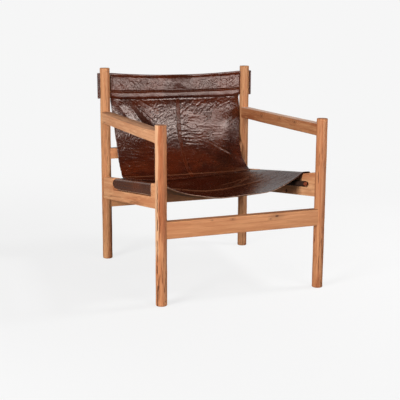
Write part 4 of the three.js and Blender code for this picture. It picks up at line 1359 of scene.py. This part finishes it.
BOARD_FACE = 0.014  # from the legs' axes to the stretcher's knots
# Knots: y, z and radius in the right armrest, and x, z and radius in the front stretcher
ARM_KNOTS = ((0.123, 0.570, 0.0030), (-0.032, 0.578, 0.0026), (-0.153, 0.576, 0.0030))
BOARD_KNOTS = (
    (0.1218, 0.2764, 0.0055), (0.098, 0.268, 0.0020), (-0.12, 0.281, 0.0012),
    (-0.045, 0.279, 0.0022),
)

# Cracks of each leg: a turn round it, its lowest and highest point and its width as an angle
CRACKS = {
    "front_left_leg": (
        (pi + 0.50, 0.19, 0.46, 0.13), (pi + 0.45, -0.03, 0.17, 0.18),
        (pi + 0.80, -0.03, 0.12, 0.10), (pi + 0.58, 0.13, 0.22, 0.11), (5.70, 0.03, 0.20, 0.12),
        (1.5 * pi - 0.55, 0.22, 0.46, 0.06), (1.5 * pi + 0.35, 0.0, 0.12, 0.06),
        (5.85, 0.13, 0.156, 0.3), (1.5 * pi - 0.2, 0.02, 0.17, 0.05),
    ),
    "front_right_leg": (
        (1.5 * pi + 0.2, 0.10, 0.30, 0.07), (1.5 * pi - 0.9, 0.36, 0.50, 0.06),
        (3.45, 0.245, 0.28, 0.22), (3.42, 0.162, 0.196, 0.20), (1.5 * pi - 0.3, 0.02, 0.16, 0.06),
    ),
    "rear_left_post": ((1.5 * pi + 0.1, 0.36, 0.56, 0.035), (pi + 0.5, 0.05, 0.3, 0.05)),
    "rear_right_post": ((1.2 * pi, 0.55, 0.70, 0.03), (0.9, 0.2, 0.45, 0.04)),
}
SAPWOOD = {"front_left_leg": (pi + 0.18, 0.15, 0.70)}
SLOT_HALF = 0.0026
SLOT_GAP = 0.0003


class CHAIR_OT_materials(Operator):
    """Makes the wood, leather and thread materials"""

    bl_idname = "chair.materials"
    bl_label = "Materials"

    def execute(self, context):
        wood, hide = context.scene.chair_frame, context.scene.chair_leather
        leg_material("front_leg_wood", wood, (0.93, 0.76, 0.63))
        leg_material("rear_leg_wood", wood, (0.96, 0.88, 0.76))
        # The rails' tint is lighter than the other woods' as painted light: it makes up for the
        # little lamp light on their outer faces.
        wood_material(
            "rail_wood", wood, "Y", (1.22, 1.18, 1.08), turn=(0.01, 0.0, 0.01),
            lean=Sling(context.scene).slope, figure=0.8,
        )
        arm_turn = (0.04, 0.0, 0.03)
        # Dark left armrest top: painted shade with some wear.
        wood_material(
            "left_arm_wood", wood, "Y", (1.10, 1.10, 1.08), turn=arm_turn, top=(wood.dark, 0.56)
        )
        knots = [(SIDE_X - ARM_WIDTH / 2, *knot) for knot in ARM_KNOTS]
        # The right armrest's pale top is painted reflection.
        wood_material(
            "right_arm_wood", wood, "Y", (0.80, 0.68, 0.56), knots, arm_turn, (wood.painted_top_glare, 0.6)
        )
        face = FRONT_Y - BOARD_FACE
        knots = [(x, face, z, radius) for x, z, radius in BOARD_KNOTS]
        # Dark tops of the boards: painted shade.
        wood_material(
            "board_wood", wood, "X", (1.02, 0.88, 0.72), knots, top=(wood.dark, 0.6), figure=0.35
        )
        leather_material("seat_hide", hide, 0.0, 0.6, hide.edge, hide.tan_flesh)
        for name, warmth, wax in (("back", 0.6, 0.95), ("band", 0.6, 0.54), ("seam", 1.0, 0.5)):
            leather_material(f"{name}_hide", hide, warmth, wax, hide.dark_edge, hide.flesh)
        rod_material("rod_wood", wood)
        low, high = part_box("right_rail_plug")
        middle = (low + high) / 2
        rod_material("plug_wood", wood, (middle.y, middle.z), (high.z - low.z) / 2)
        thread_material(hide)
        return {"FINISHED"}


class CHAIR_OT_legs(Operator):
    """Makes the four round legs with their cracks and the slots for the band"""

    bl_idname = "chair.legs"
    bl_label = "Legs"

    def execute(self, context):
        wood = context.scene.chair_frame
        band_slot = (BAND_UNDERSIDE - SLOT_GAP, BAND_TOP + SLOT_GAP, SLOT_HALF)
        for seed, (node, lines) in enumerate(CRACKS.items()):
            low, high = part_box(node)
            x, y = (low.x + high.x) / 2, (low.y + high.y) / 2
            end, slot = ("rear", band_slot) if node.startswith("rear") else ("front", None)
            piece = leg_surface(
                f"{node}_wood", x, y, high.z, wood.arris, lines, 70 + seed, SAPWOOD.get(node), slot
            )
            finish_piece(piece, f"{end}_leg_wood", "frame_wood", node)
        return {"FINISHED"}


class CHAIR_OT_arms(Operator):
    """Makes both armrests"""

    bl_idname = "chair.arms"
    bl_label = "Armrests"

    def execute(self, context):
        for label, side in (("left", -1), ("right", 1)):
            piece = arm_surface(f"{label}_armrest_wood", side, context.scene.chair_frame)
            finish_piece(piece, f"{label}_arm_wood", "frame_wood", f"{label}_armrest")
        return {"FINISHED"}


class CHAIR_OT_boards(Operator):
    """Makes the rails, the stretcher, the dowels and the plugs"""

    bl_idname = "chair.boards"
    bl_label = "Boards and dowels"

    def execute(self, context):
        for node in ("left_side_rail", "right_side_rail"):
            tidy_copy(node, "rail_wood", "frame_wood")
        for node in ("front_stretcher", "rear_lower_rail", "rear_upper_rail"):
            tidy_copy(node, "board_wood", "frame_wood")
        for label in ("left", "right"):
            tidy_copy(f"{label}_rail_plug", "plug_wood", "dowel_wood")
            tidy_copy(f"{label}_seat_dowel", "rod_wood", "dowel_wood")
            tidy_copy(f"{label}_back_dowel", "rod_wood", "dowel_wood")
        return {"FINISHED"}


class CHAIR_OT_seat(Operator):
    """Makes the seat leather"""

    bl_idname = "chair.seat"
    bl_label = "Seat"

    def execute(self, context):
        make_seat(context.scene)
        return {"FINISHED"}


class CHAIR_OT_back(Operator):
    """Makes the back leather"""

    bl_idname = "chair.back"
    bl_label = "Back"

    def execute(self, context):
        make_back(context.scene)
        return {"FINISHED"}


class CHAIR_OT_band(Operator):
    """Makes the band at the top of the back"""

    bl_idname = "chair.band"
    bl_label = "Band"

    def execute(self, context):
        make_band(context.scene)
        return {"FINISHED"}


class CHAIR_OT_stage(Operator):
    """Makes the camera, the lamps, the world and the floor"""

    bl_idname = "chair.stage"
    bl_label = "Stage"

    def execute(self, context):
        scene = context.scene
        add_camera(scene, scene.chair_stage)
        add_floor(scene.chair_stage)
        add_world(scene, scene.chair_stage)
        add_lamps(scene.chair_stage)
        return {"FINISHED"}


CAMERA_PLACE = (-1.22205, -2.97048, 0.92982)
CAMERA_TURN = {"yaw": 0.38215, "pitch": 0.20057, "roll": 0.00423}
FLOOR_REACH = 60.0
WHITE = (1, 1, 1, 1)


def add_camera(scene, settings):
    """Camera that looks along +Y, turned right by a yaw, down by a pitch and over by a roll."""
    data = bpy.data.cameras.new("camera")
    data.lens = settings.lens
    data.sensor_fit = "HORIZONTAL"
    turn = (
        Matrix.Rotation(-CAMERA_TURN["yaw"], 4, "Z")
        @ Matrix.Rotation(pi / 2 - CAMERA_TURN["pitch"], 4, "X")
        @ Matrix.Rotation(CAMERA_TURN["roll"], 4, "Z")
    )
    scene.camera = add_object("camera", data)
    scene.camera.matrix_world = Matrix.Translation(CAMERA_PLACE) @ turn
    scene.view_settings.view_transform = "Standard"


def add_floor(settings):
    """Pale floor that runs into the backdrop without a line.

    Its look to the camera is a glow of its own plus the light that falls on it, which counts for
    less and less away from the chair. The glow makes up for the open floor's own light, of which
    there is more towards the key lamp.
    """
    corners = FLOOR_REACH * np.array([(-1, -1, 0), (1, -1, 0), (1, 1, 0), (-1, 1, 0)])
    floor = add_mesh("floor", corners, [[0, 1, 2, 3]], "floor")
    material, tree, shader, place = new_material("floor_paint")
    tree.nodes.remove(shader)
    away = vector_maths(tree, "LENGTH", place)
    share = between(tree, away, 0.7, 2.6, settings.shadow, 0.0)
    lit = blend(tree, share, 0.0, settings.pale)
    towards_key = vector_maths(tree, "DOT_PRODUCT", place, (-0.27, -0.20, 0.0))
    tilt = between(tree, towards_key, -0.5, 0.5, -0.38, 0.38)
    taken = product(tree, share, calculate(tree, "ADD", settings.level, tilt))
    strength = product(tree, calculate(tree, "SUBTRACT", 1.0, taken), settings.pale)
    weak = add_node(tree, "BsdfDiffuse", {"Color": lit}).outputs[0]
    glow = add_node(tree, "Emission", {"Color": WHITE, "Strength": strength}).outputs[0]
    shown = add_node(tree, "AddShader", {0: weak, 1: glow}).outputs[0]
    full = add_node(tree, "BsdfDiffuse", {"Color": as_colour(settings.bounce)}).outputs[0]
    seen = add_node(tree, "LightPath").outputs["Is Camera Ray"]
    mixed = add_node(tree, "MixShader", {0: seen, 1: full, 2: shown}).outputs[0]
    tree.links.new(mixed, tree.nodes["Material Output"].inputs["Surface"])
    floor.data.materials.append(material)


def add_world(scene, settings):
    """Room light: bright behind the chair up to a height and dim elsewhere.

    The camera sees the backdrop's even brightness.
    """
    scene.world = bpy.data.worlds.new("room")
    scene.world.use_nodes = True
    tree = scene.world.node_tree
    direction = add_node(tree, "TexCoord").outputs["Generated"]
    axes = add_node(tree, "SeparateXYZ", {0: direction}).outputs
    low = between(tree, axes["Z"], 0.45, 0.8, 1.0, 0.0)
    bright = product(tree, between(tree, axes["Y"], -0.1, 0.6), low)
    strength = between(tree, bright, 0.0, 1.0, settings.dim, settings.glow)
    seen = add_node(tree, "LightPath").outputs["Is Camera Ray"]
    final = add_node(tree, "Mix", {0: seen, 2: strength, 3: settings.pale}, data_type="FLOAT")
    background = tree.nodes["Background"]
    tree.links.new(final.outputs[0], background.inputs["Strength"])
    background.inputs["Color"].default_value = WHITE


def add_lamp(name, place, aim, size, power, diffuse=True, glossy=True):
    """Soft oblong lamp at a place, aimed at a point. It lights colours, reflections or both."""
    data = bpy.data.lights.new(name, "AREA")
    data.shape = "RECTANGLE"
    data.size, data.size_y = size
    data.energy = power
    lamp = add_object(name, data)
    turn = (Vector(aim) - Vector(place)).to_track_quat("-Z", "Y").to_matrix().to_4x4()
    lamp.matrix_world = Matrix.Translation(place) @ turn
    lamp.visible_diffuse = diffuse
    lamp.visible_glossy = glossy


def add_lamps(settings):
    """Four lamps round the chair: key, sheen, fill and top.

    The key lamp stands on the left, and a low one in front on the right gives the leather's sheen
    alone. The fill lamp and the top lamp give no reflections.
    """
    chest, chair = (0.0, 0.0, 0.45), (0.0, 0.3, 0.6)
    add_lamp("key_lamp", (-2.77, -1.6, 1.25), chest, (1.3, 1.2), settings.key)
    add_lamp("sheen_lamp", (1.44, -2.78, 0.65), chair, (2.2, 0.9), settings.sheen, diffuse=False)
    add_lamp("fill_lamp", (0.7, -2.9, 1.3), chest, (1.8, 1.2), settings.fill, glossy=False)
    add_lamp("top_lamp", (1.5, -0.5, 2.4), chest, (0.5, 0.5), settings.top, glossy=False)


class CHAIR_PT_panel(Panel):
    """Lists the chair's pieces and their settings"""

    bl_idname = "CHAIR_PT_panel"
    bl_label = "Sling Chair"
    bl_space_type = "VIEW_3D"
    bl_region_type = "UI"
    bl_category = "Sling Chair"

    def draw(self, context):
        layout = self.layout
        for operator in OPERATORS:
            layout.operator(operator.bl_idname)
        for group in GROUPS:
            settings = getattr(context.scene, group)
            box = layout.box()
            for name in settings.__annotations__:
                box.prop(settings, name)


OPERATORS = (
    CHAIR_OT_materials, CHAIR_OT_stage, CHAIR_OT_legs, CHAIR_OT_arms, CHAIR_OT_boards,
    CHAIR_OT_seat, CHAIR_OT_back, CHAIR_OT_band,
)
GROUPS = {
    "chair_frame": FrameSettings, "chair_leather": LeatherSettings, "chair_stage": StageSettings,
}


def register():
    """Registers the settings, the operators and the panel."""
    for name, group in GROUPS.items():
        bpy.utils.register_class(group)
        setattr(bpy.types.Scene, name, PointerProperty(type=group))
    for item in (*OPERATORS, CHAIR_PT_panel):
        bpy.utils.register_class(item)


def unregister():
    """Takes the panel, the operators and the settings away again."""
    for item in (CHAIR_PT_panel, *OPERATORS[::-1]):
        bpy.utils.unregister_class(item)
    for name, group in GROUPS.items():
        delattr(bpy.types.Scene, name)
        bpy.utils.unregister_class(group)


def main():
    """Builds the whole scene."""
    register()
    for operator in OPERATORS:
        category, name = operator.bl_idname.split(".")
        getattr(getattr(bpy.ops, category), name)()


if __name__ == "__main__":
    main()
